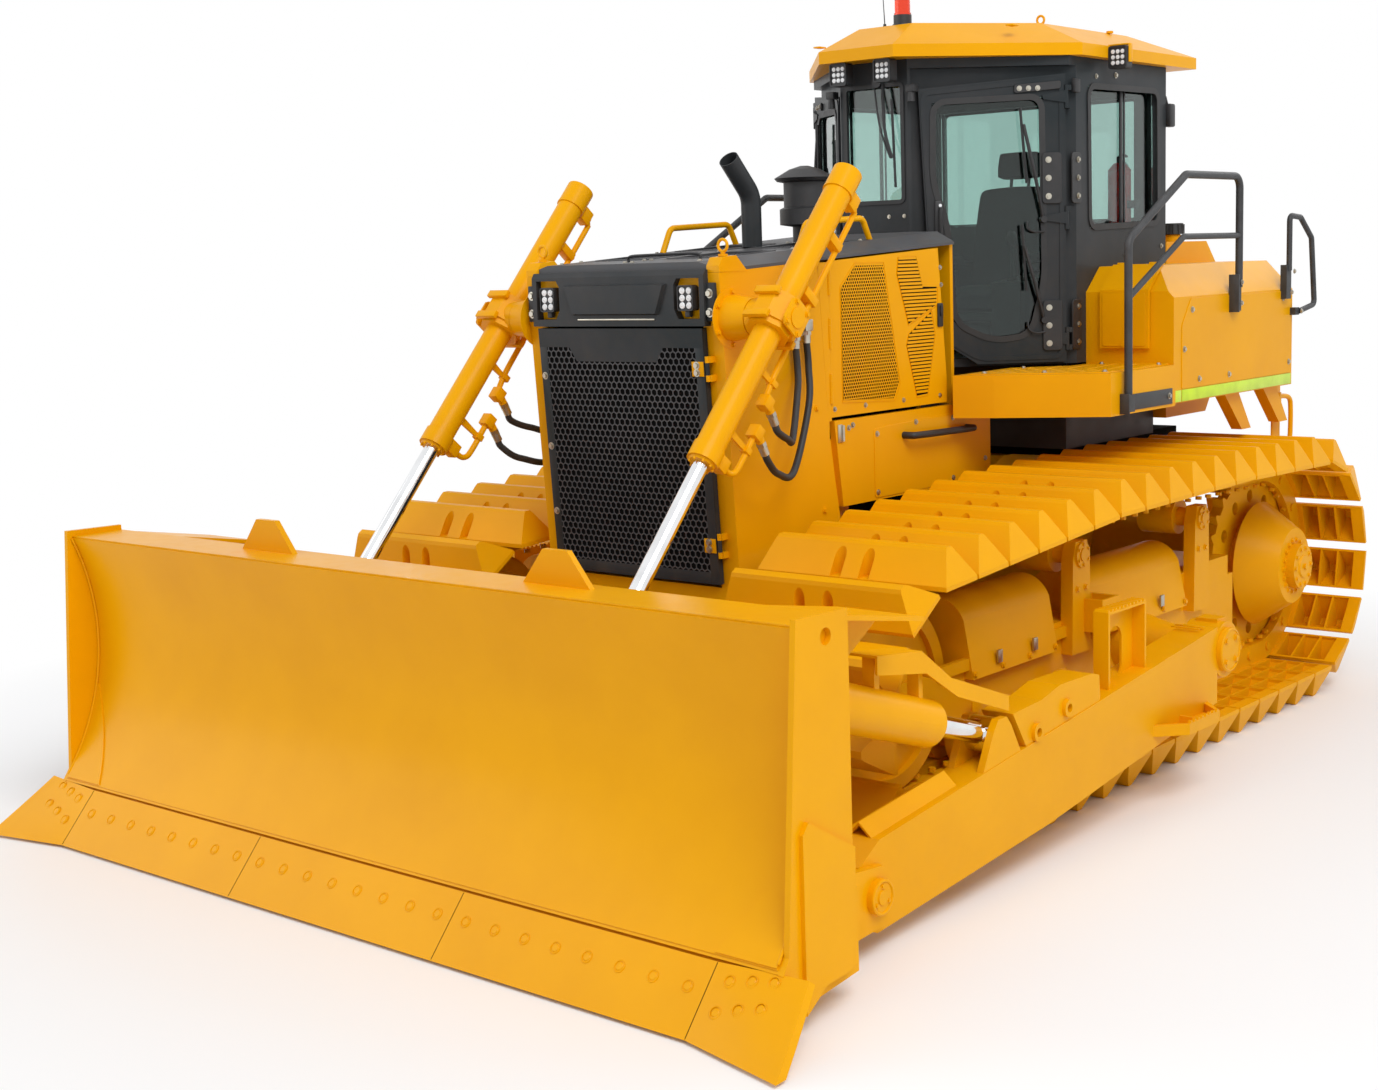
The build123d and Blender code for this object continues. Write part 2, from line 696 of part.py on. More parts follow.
# engine doors: sheet doors hinged at their front edge
door_front_y = guard_rear_y + 78
door_outline = [
    (door_front_y, hood_side_z(door_front_y) - 8), (hood_rear_y, hood_side_z(hood_rear_y) - 8),
    (hood_rear_y + 60, hood_side_bottom_z + 120), (hood_rear_y + 60, hood_side_bottom_z), (door_front_y, hood_side_bottom_z),
]
side_knuckle, side_knuckle_length, side_lug = 8, 70, 30
side_knuckle_zs = (hood_side_bottom_z + 90, hood_side_bottom_z + 330, hood_side_bottom_z + 560)


def side_hinge_pin(z, length, grow=0):
    """A round knuckle on the left engine door's hinge line."""
    with BuildPart() as knuckle:
        with BuildSketch(Plane.XY.offset(z)):
            with Locations((guard_half_width, door_front_y)):
                Circle(side_knuckle + grow)
        extrude(amount=length)
    return knuckle.part


with BuildPart() as side_door:
    add(side_plate(door_outline, guard_half_width - door_sheet, door_sheet))
    for z in side_knuckle_zs:
        add(side_hinge_pin(z, side_knuckle_length))
        for z0 in (z - side_lug - seat_gap, z + side_knuckle_length + seat_gap):
            add(side_hinge_pin(z0, side_lug, running_gap), mode=Mode.SUBTRACT)
engine_door = side_door.part
save(engine_door, "engine_door_left")
save(mirror(engine_door, about=Plane.YZ), "engine_door_right")

# lower side covers under the doors, back to the platform
cover_rear_y = 740
lower_outline = [
    (guard_rear_y + 95, hood_side_bottom_z - 16), (cover_rear_y, hood_side_bottom_z - 16),
    (cover_rear_y, 1300), (guard_rear_y + 150, 1300),
]
lower_cover = side_plate(lower_outline, guard_half_width - 30, 30)
grab = tube_along([(guard_half_width - 5, -10, 1575), (guard_half_width + 55, -10, 1572),
                   (guard_half_width + 55, 520, 1566), (guard_half_width - 5, 520, 1563)], 38, 14)
with BuildPart() as side_cover:
    add(lower_cover)
    add(grab)
save(Compound(both_sides(side_cover.part)), "lower_side_covers")

# engine on the hull's deck
engine_front_y, engine_rear_y = -760, 420
engine_outline = [
    (engine_front_y, hull_deck_z(engine_front_y) + seat_gap), (engine_rear_y, hull_deck_z(engine_rear_y) + seat_gap),
    (engine_rear_y, 2250), (engine_front_y, 2250),
]
save(side_plate(engine_outline, -330, 660), "engine_block")

# hood frame: ledges with legs on the hull's sides, a hinge pillar ahead of each door, a bulkhead at the rear
rib_inner_x, rib_outer_x = guard_half_width - 60, guard_half_width - 30 - seat_gap
pillar_top_z = hood_side_z(guard_rear_y) - 8
pillar = [
    (guard_rear_y + seat_gap, pillar_top_z), (guard_rear_y + 60 + seat_gap, 1600 + seat_gap),
    (guard_rear_y + 60 + seat_gap, hood_side_bottom_z - 16 + seat_gap), (door_front_y - seat_gap, hood_side_bottom_z - 16 + seat_gap),
    (door_front_y - seat_gap, pillar_top_z),
]
with BuildPart() as sill:
    add(block(hull_half_width + seat_gap, rib_outer_x, guard_rear_y + 200, cover_rear_y, 1305, 1345))
    add(block(rib_inner_x, rib_outer_x, guard_rear_y + 200, cover_rear_y, 1344, hood_side_bottom_z - 20))
    for y in (-330, 560):
        add(block(hull_half_width + seat_gap, hull_half_width + 60, y, y + 90, hull_deck_z(y) - 140, 1306))
    add(block(rib_inner_x, rib_outer_x, guard_rear_y - 10, door_front_y - seat_gap, 1305, pillar_top_z))
    add(block(rib_inner_x, rib_outer_x, door_front_y - 1, guard_rear_y + 201, 1305, 1600))
    add(side_plate(pillar, rib_outer_x - 1, guard_half_width - seat_gap - rib_outer_x + 1))
    for z in side_knuckle_zs:
        add(side_hinge_pin(z - seat_gap, side_knuckle_length + 2 * seat_gap, running_gap), mode=Mode.SUBTRACT)
        for z0 in (z - side_lug - seat_gap, z + side_knuckle_length + seat_gap):
            add(side_hinge_pin(z0, side_lug))
bulkhead_y, bulkhead_plate = hood_rear_y + 130, 25
bulkhead_half = guard_half_width - door_sheet - 6
with BuildPart() as bulkhead:
    add(block(-bulkhead_half, bulkhead_half, bulkhead_y, bulkhead_y + bulkhead_plate,
              hood_side_bottom_z - 15, hood_side_z(bulkhead_y) - seat_gap))
    add(block(-hull_half_width + 5, hull_half_width - 5, bulkhead_y, bulkhead_y + bulkhead_plate,
              hull_deck_z(bulkhead_y + bulkhead_plate) + seat_gap, hood_side_bottom_z))
save(Compound(both_sides(sill.part) + [bulkhead.part]), "hood_frame")

# grab rails on the hood
hood_rail_parts = []
rail_z0 = hood_crown_z(-300)
rail = tube_along([(395, -560, rail_z0 - 20), (395, -500, rail_z0 + 95), (395, -80, rail_z0 + 112), (395, -20, rail_z0 + 4)], 45, 14)
with BuildPart() as hood_rail:
    add(rail)
    add(hood.part, mode=Mode.SUBTRACT)
save(Compound(both_sides(hood_rail.part.solids().sort_by(SortBy.VOLUME)[-1])), "hood_rails")

# exhaust stack, bent forwards, open at its mouth
exhaust_y, exhaust_radius, exhaust_wall = -390, 46, 4
stack_foot = hood_crown_z(exhaust_y + exhaust_radius) + 0.3
stack_path = FilletPolyline((0, exhaust_y, stack_foot), (0, exhaust_y, stack_foot + 230),
                            (0, exhaust_y - 150, stack_foot + 390), radius=110)
with BuildPart() as exhaust:
    with BuildSketch(Plane.XY.offset(stack_foot)):
        with Locations((0, exhaust_y)):
            Circle(exhaust_radius)
            Circle(exhaust_radius - exhaust_wall, mode=Mode.SUBTRACT)
    sweep(path=stack_path)
save(exhaust.part, "exhaust_pipe")

# pre-cleaner: stem, dark band, mesh bowl and cap
cleaner_x, cleaner_y = 110, -130
cleaner_foot = hood_crown_z(cleaner_y + 60) + 0.3
cleaner_profile = [(0, 0), (60, 0), (60, 70), (118, 80), (118, 150), (98, 160), (98, 270), (128, 276), (140, 290),
                   (70, 330), (20, 345), (0, 345)]
with BuildPart() as pre_cleaner:
    with BuildSketch(Plane(origin=(cleaner_x, cleaner_y, cleaner_foot), x_dir=(1, 0, 0), z_dir=(0, -1, 0))):
        with BuildLine():
            Polyline(*cleaner_profile, close=True)
        make_face()
    revolve(axis=Axis((cleaner_x, cleaner_y, 0), (0, 0, 1)))
save(pre_cleaner.part, "pre_cleaner")

# ---------------------------------------------------------------- cab
hexagon = [
    (-cab_front_half, cab_front_y), (cab_front_half, cab_front_y), (cab_half, cab_pillar_y),
    (cab_half, cab_rear_y), (-cab_half, cab_rear_y), (-cab_half, cab_pillar_y),
]
facet_length = hypot(cab_half - cab_front_half, cab_pillar_y - cab_front_y)
facet_dir = ((cab_half - cab_front_half) / facet_length, (cab_pillar_y - cab_front_y) / facet_length)
facet = Plane(origin=(cab_front_half, cab_front_y, 0), x_dir=(*facet_dir, 0), z_dir=(facet_dir[1], -facet_dir[0], 0))
rebate = cab_door_thickness + door_gap
# door outline on its facet: s along the facet from the front corner, z up
door_outline = [(52, 3180), (facet_length - 18, 3240), (facet_length - 18, cab_floor_z + 12),
                (330, cab_floor_z + 12), (150, cab_floor_z + 130), (84, 2500)]
# glass opening in the door
door_window = [(118, 3112), (facet_length - 130, 3130), (facet_length - 120, 2260), (facet_length - 190, 1990),
               (400, 1965), (210, 2060), (178, 2540), (112, 2720)]


def facet_block(outline, depth0, depth1, grow=0):
    """A block on the left door facet, between two depths inside the facet's face."""
    with BuildPart() as body:
        with BuildSketch(facet.offset(-depth1)):
            with BuildLine():
                Polyline(*outline, close=True)
            make_face()
            if grow:
                offset(amount=grow, kind=Kind.INTERSECTION)
        extrude(amount=depth1 - depth0)
    return body.part


door_hinge_s = facet_length - 14
door_knuckle_radius, door_knuckle_length = 10, 60
door_hinge_zs = (1930, 2520, 3100)


def door_knuckle(z, length, clearance=0):
    """A round knuckle on the door's hinge line."""
    with BuildPart() as knuckle:
        with BuildSketch(Plane.XY.offset(z)):
            with Locations(facet.from_local_coords(Vector(door_hinge_s, 0, 0))):
                Circle(door_knuckle_radius + clearance)
        extrude(amount=length)
    return knuckle.part


rebate_block = facet_block([(14, cab_floor_z - 1), (facet_length + 80, cab_floor_z - 1),
                            (facet_length + 80, cab_top_z - 45), (14, cab_top_z - 45)], -100, rebate)
door_hole = facet_block([(110, cab_floor_z + 40), (facet_length - 110, cab_floor_z + 40),
                         (facet_length - 110, 3170), (110, 3130)], -100, 260)
side_window = [(cab_pillar_y + 190, 3190), (cab_rear_y - 95, 3200), (cab_rear_y - 85, 2520), (cab_pillar_y + 200, 2500)]
with BuildPart() as cab:
    with BuildSketch(Plane.XY.offset(cab_floor_z)):
        with BuildLine():
            Polyline(*hexagon, close=True)
        make_face()
        with BuildSketch(mode=Mode.PRIVATE) as inside:
            with BuildLine():
                Polyline(*hexagon, close=True)
            make_face()
            offset(amount=-cab_wall, kind=Kind.INTERSECTION)
        add(inside.sketch, mode=Mode.SUBTRACT)
    extrude(amount=cab_top_z - cab_floor_z)
    with BuildSketch(Plane.XZ.offset(-cab_front_y - 300)):
        with Locations((0, 2930)):
            Rectangle(2 * cab_front_half - 60, 560)
    extrude(amount=400, mode=Mode.SUBTRACT)
    with BuildSketch(Plane.XZ.offset(-cab_rear_y - 100)):
        with Locations((0, 2860)):
            Rectangle(2 * cab_half - 320, 640)
    extrude(amount=200, mode=Mode.SUBTRACT)
    add(side_plate(side_window, -cab_half - 50, 2 * cab_half + 100), mode=Mode.SUBTRACT)
    for solid in both_sides(rebate_block) + both_sides(door_hole):
        add(solid, mode=Mode.SUBTRACT)
    # lugs above and below each door knuckle
    for z in door_hinge_zs:
        for z0 in (z - 25 - seat_gap, z + door_knuckle_length + seat_gap):
            lug = facet_block([(door_hinge_s + 2, z0), (door_hinge_s + 26, z0), (door_hinge_s + 26, z0 + 25), (door_hinge_s + 2, z0 + 25)],
                              0, rebate + 4)
            for solid in both_sides(lug) + both_sides(door_knuckle(z0, 25)):
                add(solid)
save(cab.part, "cab_frame")

floor_inset = cab_wall + rebate + 8
cab_base_half, cab_base_z = track_inner_x + 27, 1400
with BuildPart() as cab_floor:
    with BuildSketch(Plane.XY.offset(cab_floor_z)):
        with BuildLine():
            Polyline(*hexagon, close=True)
        make_face()
        offset(amount=-floor_inset, kind=Kind.INTERSECTION)
    extrude(amount=40)
    add(block(-cab_base_half, cab_base_half, cab_pillar_y + 60, cab_rear_y - 20, cab_base_z, cab_floor_z))
save(cab_floor.part, "cab_floor")

pane_gap = 0.4
front_pane_half, rear_pane_half = cab_front_half - 30 - pane_gap, cab_half - 160 - pane_gap
panes = [
    block(-front_pane_half, front_pane_half, cab_front_y + 26, cab_front_y + 26 + glass_thickness, 2650 + pane_gap, 3210 - pane_gap),
    block(-rear_pane_half, rear_pane_half, cab_rear_y - 34, cab_rear_y - 34 + glass_thickness, 2540 + pane_gap, 3180 - pane_gap),
]
with BuildPart() as side_pane:
    with BuildSketch(Plane.YZ.offset(cab_half - 40)):
        with BuildLine():
            Polyline(*side_window, close=True)
        make_face()
        offset(amount=-pane_gap, kind=Kind.INTERSECTION)
    extrude(amount=glass_thickness)
panes += both_sides(side_pane.part)
save(Compound(panes), "cab_glass")

with BuildPart() as door:
    add(facet_block(door_outline, 0, cab_door_thickness))
    for z in door_hinge_zs:
        add(door_knuckle(z, door_knuckle_length))
        add(facet_block([(door_hinge_s, z), (door_hinge_s, z + door_knuckle_length), (door_hinge_s - 120, z + 40), (door_hinge_s - 120, z + 20)],
                        -door_knuckle_radius, 1))
    add(facet_block(door_window, -20, cab_door_thickness + 20), mode=Mode.SUBTRACT)
    for z in door_hinge_zs:
        for z0 in (z - 26, z + door_knuckle_length):
            add(door_knuckle(z0, 26, running_gap), mode=Mode.SUBTRACT)
save(door.part, "cab_door_left")
save(mirror(door.part, about=Plane.YZ), "cab_door_right")
door_glass = facet_block(door_window, 16, 16 + glass_thickness, grow=-0.5)
save(door_glass, "cab_door_glass_left")
save(mirror(door_glass, about=Plane.YZ), "cab_door_glass_right")

# roof: an octagonal cap with a band and a low crown
roof_half, roof_front_half = cab_half + 55, cab_front_half + 20
crown_half, crown_front_half = cab_half - 215, cab_front_half - 40
roof_outline = [
    (-roof_front_half, cab_front_y - 145), (roof_front_half, cab_front_y - 145), (roof_half, cab_pillar_y + 35),
    (roof_half, cab_rear_y + 240), (-roof_half, cab_rear_y + 240), (-roof_half, cab_pillar_y + 35),
]
crown_outline = [
    (-crown_front_half, cab_front_y + 115), (crown_front_half, cab_front_y + 115), (crown_half, cab_pillar_y + 100),
    (crown_half, cab_rear_y - 30), (-crown_half, cab_rear_y - 30), (-crown_half, cab_pillar_y + 100),
]
with BuildPart() as roof:
    with BuildSketch(Plane.XY.offset(cab_top_z)):
        with BuildLine():
            Polyline(*roof_outline, close=True)
        make_face()
    extrude(amount=roof_band)
    for z, outline in ((cab_top_z + roof_band, roof_outline), (roof_crown_z, crown_outline)):
        with BuildSketch(Plane.XY.offset(z)):
            with BuildLine():
                Polyline(*outline, close=True)
            make_face()
    loft(ruled=True)
save(roof.part, "cab_roof")

# seat, console and levers inside the cab
with BuildPart() as seat:
    add(block(-200, 200, 1330, 1760, 2060, 2200))
    add(side_plate([(1720, 2120), (1860, 2140), (1960, 2760), (1870, 2760)], -200, 400))
    add(side_plate([(1890, 2765), (1975, 2765), (1990, 2900), (1915, 2900)], -130, 260))
    add(side_plate([(1880, 2700), (1960, 2700), (1975, 2800), (1900, 2800)], -30, 60))
    add(block(-150, 150, 1400, 1720, cab_floor_z + 40, 2061))
save(seat.part, "seat")
console_side = side_plate([(1180, cab_floor_z + 40), (1780, cab_floor_z + 40), (1780, 2300), (1180, 2240)], 290, 170)
with BuildPart() as console:
    add(console_side)
    with BuildSketch(Plane.XY.offset(2230)):
        with Locations((375, 1260)):
            Circle(16)
    extrude(amount=170)
save(Compound(both_sides(console.part)), "consoles")

# ---------------------------------------------------------------- platforms, fenders, tank
platform_outer_x = fender_outer_x + 10
platform_edge = [(guard_half_width + 50, 335), (guard_half_width + 230, 405), (platform_outer_x, 640),
                 (platform_outer_x, fender_front_y - seat_gap)]
platform_inner = [(cab_base_half + seat_gap, fender_front_y - seat_gap), (cab_base_half + seat_gap, cab_pillar_y),
                  (guard_half_width + 10, 920)]
platform = flat_plate(platform_edge + platform_inner, platform_z - platform_depth, platform_depth)
with BuildPart() as step_platform:
    add(platform)
    for solid in both_sides(flat_plate(hexagon, cab_floor_z - 500, 600)):
        add(solid, mode=Mode.SUBTRACT)
save(Compound(both_sides(step_platform.part)), "platforms")

with BuildPart() as fender:
    with BuildSketch(Plane.XZ.offset(-fender_front_y)):
        with BuildLine():
            Polyline(
                (cab_half + seat_gap, fender_bottom_z), (fender_outer_x, fender_bottom_z), (fender_outer_x, 2150),
                (fender_outer_x - 150, fender_top_z), (cab_half + seat_gap, fender_top_z), close=True,
            )
        make_face()
    extrude(amount=-(fender_rear_y - fender_front_y))
    with BuildSketch(Plane.YZ.offset(cab_half)):
        with BuildLine():
            Polyline((fender_front_y - 1, 2180), (fender_front_y + 140, fender_top_z + 1), (fender_front_y - 1, fender_top_z + 1),
                     close=True)
        make_face()
    extrude(amount=600, mode=Mode.SUBTRACT)
lid_x0, lid_x1, lid_thickness = cab_half + 90, fender_outer_x - 125, 18
lid_top = (fender_front_y + 132, fender_top_z - 7)
lid_bend = (fender_front_y, 2180)
lid_knuckle, lid_knuckle_length = 8, 40
lid_hinge = (fender_front_y + 146, fender_top_z + lid_knuckle + 1)
lid_hinge_xs = (lid_x0 + 25, lid_x1 - 65)
lid_lugs = []
for x in lid_hinge_xs:
    for x0 in (x - 14 - seat_gap, x + lid_knuckle_length + seat_gap):
        lid_lugs.append(cross_cylinder(lid_knuckle, x0, x0 + 14, *lid_hinge))
        lid_lugs.append(block(x0, x0 + 14, lid_hinge[0], lid_hinge[0] + 30, fender_top_z - 1, lid_hinge[1]))
arms = []
for y0 in (1960, 2430):
    bracket = [(y0, fender_bottom_z + 2), (y0 + 170, fender_bottom_z + 2), (y0 + 330, 1430), (y0 + 220, 1430)]
    arms.append(side_plate(bracket, fender_outer_x - 110, 60))
with BuildPart() as braced_fender:
    add(fender.part)
    add(arms)
with BuildPart() as lidded_fender:
    add(braced_fender.part)
    add(lid_lugs)
save(Compound([lidded_fender.part, mirror(braced_fender.part, about=Plane.YZ)]), "fenders")

# lid on the front of the left fender box, hinged along its top edge
with BuildPart() as lid:
    with BuildSketch(Plane.YZ.offset(lid_x0)):
        with BuildLine():
            Polyline(
                (lid_top[0] - 4, lid_top[1] + 1), (lid_bend[0] - 5, lid_bend[1] + 2), (lid_bend[0] - 5, 1905),
                (lid_bend[0] - 5 - lid_thickness, 1905), (lid_bend[0] - 5 - lid_thickness, lid_bend[1] + 10),
                (lid_top[0] - 16, lid_top[1] + 15), close=True,
            )
        make_face()
    extrude(amount=lid_x1 - lid_x0)
    for x in lid_hinge_xs:
        add(cross_cylinder(lid_knuckle, x, x + lid_knuckle_length, *lid_hinge))
        leaf = [(lid_hinge[0], lid_hinge[1] - 4), (lid_hinge[0], lid_hinge[1] + lid_knuckle),
                (lid_top[0] - 32, lid_top[1] + 1), (lid_top[0] - 20, lid_top[1] - 8)]
        add(side_plate(leaf, x, lid_knuckle_length))
save(lid.part, "toolbox_lid")

with BuildPart() as tank:
    with BuildSketch(Plane.YZ.offset(-cab_half)):
        with BuildLine():
            Polyline((cab_rear_y + 12, 1480), (2640, 1480), (2760, 1640), (2760, 2300), (2640, 2420),
                     (cab_rear_y + 12, 2420), close=True)
        make_face()
    extrude(amount=2 * cab_half)
    with BuildSketch(Plane.XY.offset(2419)):
        with Locations((cab_half - 110, 2450), (cab_half - 290, 2500)):
            Circle(46)
    extrude(amount=42)
    fillet(tank.faces().sort_by(Axis.Z)[-1].edges(), 8)
save(tank.part, "fuel_tank")
with BuildPart() as saddle:
    add(block(50 - track_inner_x, track_inner_x - 50, 1300, 2560, hull_top_z + 60 + seat_gap, cab_base_z - seat_gap))
    add(block(-300, 300, 2240, 2600, cab_base_z - 1, 1480 - seat_gap))
save(saddle.part, "cab_mounts")

# handrails
post_y, rail_y = 760, 1940
rail_x = fender_outer_x + 36
handrail = tube_along([(rail_x, post_y, 1650), (rail_x, post_y, 2430), (rail_x, 1340, 2735), (rail_x, rail_y, 2735),
                       (rail_x, rail_y, 2180)], 60, 19)
mid_rail = tube_along([(rail_x, post_y + 10, 2170), (rail_x, 1320, 2440), (rail_x, rail_y - 8, 2440)], 60, 15)
rear_rail = tube_along([(rail_x, 2560, 2250), (rail_x, 2560, 2540), (rail_x, 2700, 2530), (rail_x, 2850, 2420),
                        (rail_x, 2900, 2060), (rail_x, 2700, 2030)], 30, 15)
with BuildPart() as rails_left:
    add(handrail)
    add(mid_rail)
    add(block(fender_outer_x + seat_gap, rail_x, rail_y - 30, rail_y + 30, 2060, 2240))
    add(block(platform_outer_x + seat_gap, rail_x + 22, post_y - 24, post_y + 24, 1640, 1720))
with BuildPart() as rear_left:
    add(rear_rail)
    add(block(fender_outer_x + seat_gap, rail_x, 2530, 2590, 2100, 2280))
    add(block(fender_outer_x + seat_gap, rail_x, 2650, 2700, 2010, 2050))
save(Compound(both_sides(rails_left.part) + both_sides(rear_left.part)), "handrails")

# lamps and beacon on the roof
roof_lamps = []
hung_z = cab_top_z - 55 - seat_gap
for x, y, z in ((130, cab_front_y - 55, hung_z), (roof_half + 50 + seat_gap, 1480, cab_top_z), (cab_half - 215, cab_rear_y + 200, hung_z)):
    with BuildPart() as work_lamp:
        with BuildSketch(Plane.XZ.offset(-y)):
            with Locations((x, z)):
                RectangleRounded(100, 110, 14)
        extrude(amount=55)
    roof_lamps += both_sides(work_lamp.part)
save(Compound(roof_lamps), "work_lights")
beacon_place = (60, 760)
with BuildPart() as beacon:
    with BuildSketch(Plane.XY.offset(roof_crown_z)):
        with Locations(beacon_place):
            Circle(42)
    extrude(amount=60)
    with BuildSketch(Plane.XY.offset(roof_crown_z + 60)):
        with Locations(beacon_place):
            Circle(38)
    extrude(amount=85)
    fillet(beacon.faces().sort_by(Axis.Z)[-1].edges(), 24)
save(beacon.part, "beacon")

# ---------------------------------------------------------------- blade
def arc_through(start, end, sag, depth):
    """Three points of the moldboard curve moved back by a depth."""
    middle = ((start[0] + end[0]) / 2 + sag + depth, (start[1] + end[1]) / 2)
    return (start[0] + depth, start[1]), middle, (end[0] + depth, end[1])


mold_top = (blade_top_y, blade_top_z)
mold_low = (edge_top[0] + 8, edge_top[1] + 6)
edge_length = hypot(edge_top[0] - edge_bottom[0], edge_top[1] - edge_bottom[1])
edge_dir = ((edge_top[0] - edge_bottom[0]) / edge_length, (edge_top[1] - edge_bottom[1]) / edge_length)
edge_back = (edge_dir[1] * edge_thickness, -edge_dir[0] * edge_thickness)
blade_back_y = end_plate_rear_y = -2458
fork_tail_y, fork_tail_z = -2000, blade_top_z - 86      # rear end of the fork's top plate
lug_gap = 6
arm_pin_radius = 40
wear_plate = 16

# line of the tilt cylinder and of the right-hand brace: from the blade back down to the arm
brace_x = arm_inner_x + arm_width / 2
brace_foot = (-1216, 590)
brace_head = (-2330, 946)
fork_half_gap, fork_plate = 50, 30
brace_eye_half = fork_half_gap - seat_gap
head_fork = [(blade_back_y - 20, 830), (brace_head[0] + 20, brace_head[1] - 75), (brace_head[0] + 75, brace_head[1]),
             (brace_head[0] + 110, brace_head[1] + 110), (fork_tail_y, fork_tail_z - 16), (fork_tail_y, fork_tail_z),
             (blade_back_y - 20, blade_top_z - 2)]
fork_cap = [(blade_back_y - 20, blade_top_z - 20), (fork_tail_y, fork_tail_z - 16), (fork_tail_y, fork_tail_z),
            (blade_back_y - 20, blade_top_z - 2)]
foot_fork = [(brace_foot[0] - 160, 440), (brace_foot[0] - 62, brace_foot[1] + 34), (brace_foot[0] - 30, brace_foot[1] + 72),
             (brace_foot[0] + 30, brace_foot[1] + 72), (brace_foot[0] + 62, brace_foot[1] + 34), (brace_foot[0] + 150, 470)]
hose_block = [(brace_foot[0] + 200, 470), (brace_foot[0] + 76, 662), (brace_foot[0] + 290, 674), (brace_foot[0] + 430, 706),
              (brace_foot[0] + 690, 702), (brace_foot[0] + 745, 686), (brace_foot[0] + 756, 530)]

# moldboard: curved plate, box beams top and bottom, ribs, lift ears, arm jaws and guard plates
front_arc = arc_through(mold_top, mold_low, moldboard_sag, 0)
rear_arc = arc_through(mold_top, mold_low, moldboard_sag, moldboard_plate)
with BuildPart() as moldboard:
    with BuildSketch(Plane.YZ.offset(-blade_half_width)):
        with BuildLine():
            ThreePointArc(*front_arc)
            Line(front_arc[2], rear_arc[2])
            ThreePointArc(*rear_arc)
            Line(rear_arc[0], front_arc[0])
        make_face()
    extrude(amount=2 * blade_half_width)
    top_beam = [(blade_top_y + 20, blade_top_z - 1), (blade_back_y - 2, blade_top_z - 1), (blade_back_y - 2, blade_top_z - 136),
                (blade_back_y - 90, blade_top_z - 246), (-2580, blade_top_z - 246)]
    add(side_plate(top_beam, -blade_half_width, 2 * blade_half_width))
    low_back = (edge_top[0] + edge_back[0] + 0.4, edge_top[1] + edge_back[1])
    low_beam = [low_back, (low_back[0] - 0.61 * (edge_top[0] - edge_bottom[0]), low_back[1] - 0.61 * (edge_top[1] - edge_bottom[1])), (-2780, 60), (blade_back_y + 50, 96),
                (blade_back_y + 50, 380), (-2620, 430)]
    add(side_plate(low_beam, -blade_half_width, 2 * blade_half_width))
    rib = [(-2600, blade_top_z - 241), (blade_back_y - 60, blade_top_z - 241), (blade_back_y - 30, 700), (blade_back_y, 375), (-2640, 375)]
    for x in (-1500, -1230, -960, -480, -240, 0, 240, 480, 960, 1230, 1500):
        add(side_plate(rib, x - 12, 24))
    # arm jaws at the foot and lift ears at mid height
    jaw = [(blade_back_y - 40, 85), (arm_front_y + 40, arm_front_z - 115), (arm_front_y + 90, arm_front_z),
           (arm_front_y + 40, arm_front_z + 100), (blade_back_y - 40, 370)]
    ear = [(-2600, 560), (lift_eye_y + 20, lift_eye_z - 75), (lift_eye_y + 75, lift_eye_z),
           (lift_eye_y + 20, lift_eye_z + 75), (-2600, blade_top_z - 240)]
    for side in (-1, 1):
        for x in (arm_inner_x - seat_gap - 30, arm_inner_x + arm_width + seat_gap):
            add(side_plate(jaw, x if side > 0 else -x - 30, 30))
        for x in (brace_x - fork_half_gap - fork_plate, brace_x + fork_half_gap):
            add(side_plate(head_fork, x if side > 0 else -x - fork_plate, fork_plate))
        cap_width = blade_half_width - arm_inner_x + 12
        add(side_plate(fork_cap, arm_inner_x - 12 if side > 0 else -blade_half_width, cap_width))
        # pin through the arm's eye, with a round cap outside
        for x0, x1, radius in ((arm_inner_x - 30, arm_outer_x + 30, arm_pin_radius), (arm_outer_x + 2, arm_outer_x + 52, 64)):
            add(cross_cylinder(radius, *sorted((side * x0, side * x1)), arm_front_y, arm_front_z))
        for x in (lift_x - 46 - lug_gap - 28, lift_x + 46 + lug_gap):
            add(side_plate(ear, x if side > 0 else -x - 28, 28))
    # guard plates that stand above the top beam, over the lift rods
    for x in (-820, 820):
        with BuildSketch(Plane.XZ.offset(2520)):
            with BuildLine():
                Polyline((x - 165, blade_top_z - 2), (x + 165, blade_top_z - 2), (x + 60, blade_top_z + 126), (x - 60, blade_top_z + 126), close=True)
            make_face()
        extrude(amount=25)
save(moldboard.part, "moldboard")

# end plates with a lifting hole and a wear plate on the lower outer face
end_plate_outline = [
    (-2723, blade_top_z + 25), (end_plate_rear_y, blade_top_z + 20), (end_plate_rear_y, 165), (end_plate_rear_y - 45, 126),
    (end_plate_rear_y - 170, 118), (-2740, 50), (-2805, 100), (-2830, 215), (-2799, 262),
]
wear_outline = [
    (-2735, 640), (-2706, 676), (end_plate_rear_y - 8, 536), (end_plate_rear_y - 8, 170), (end_plate_rear_y - 50, 134),
    (end_plate_rear_y - 170, 126), (-2735, 58),
]
with BuildPart() as end_plate:
    with BuildSketch(Plane.YZ.offset(blade_half_width)):
        with BuildLine():
            Polyline(*end_plate_outline, close=True)
        make_face()
        with Locations((-2575, blade_top_z - 51)):
            Circle(28, mode=Mode.SUBTRACT)
    extrude(amount=end_plate_thickness)
    add(side_plate(wear_outline, blade_half_width + end_plate_thickness - 1, wear_plate + 1))
save(Compound(both_sides(end_plate.part)), "end_plates")

# cutting edge: three like segments, bevelled flat at the ground
edge_section = [
    edge_bottom, edge_top, (edge_top[0] + edge_back[0], edge_top[1] + edge_back[1]),
    (edge_bottom[0] + edge_thickness / edge_dir[1], edge_bottom[1]),
]
segments = [side_plate(edge_section, k * edge_segment - 1.5 * edge_segment + 1, edge_segment - 2) for k in range(3)]
save(Compound(segments), "cutting_edge")

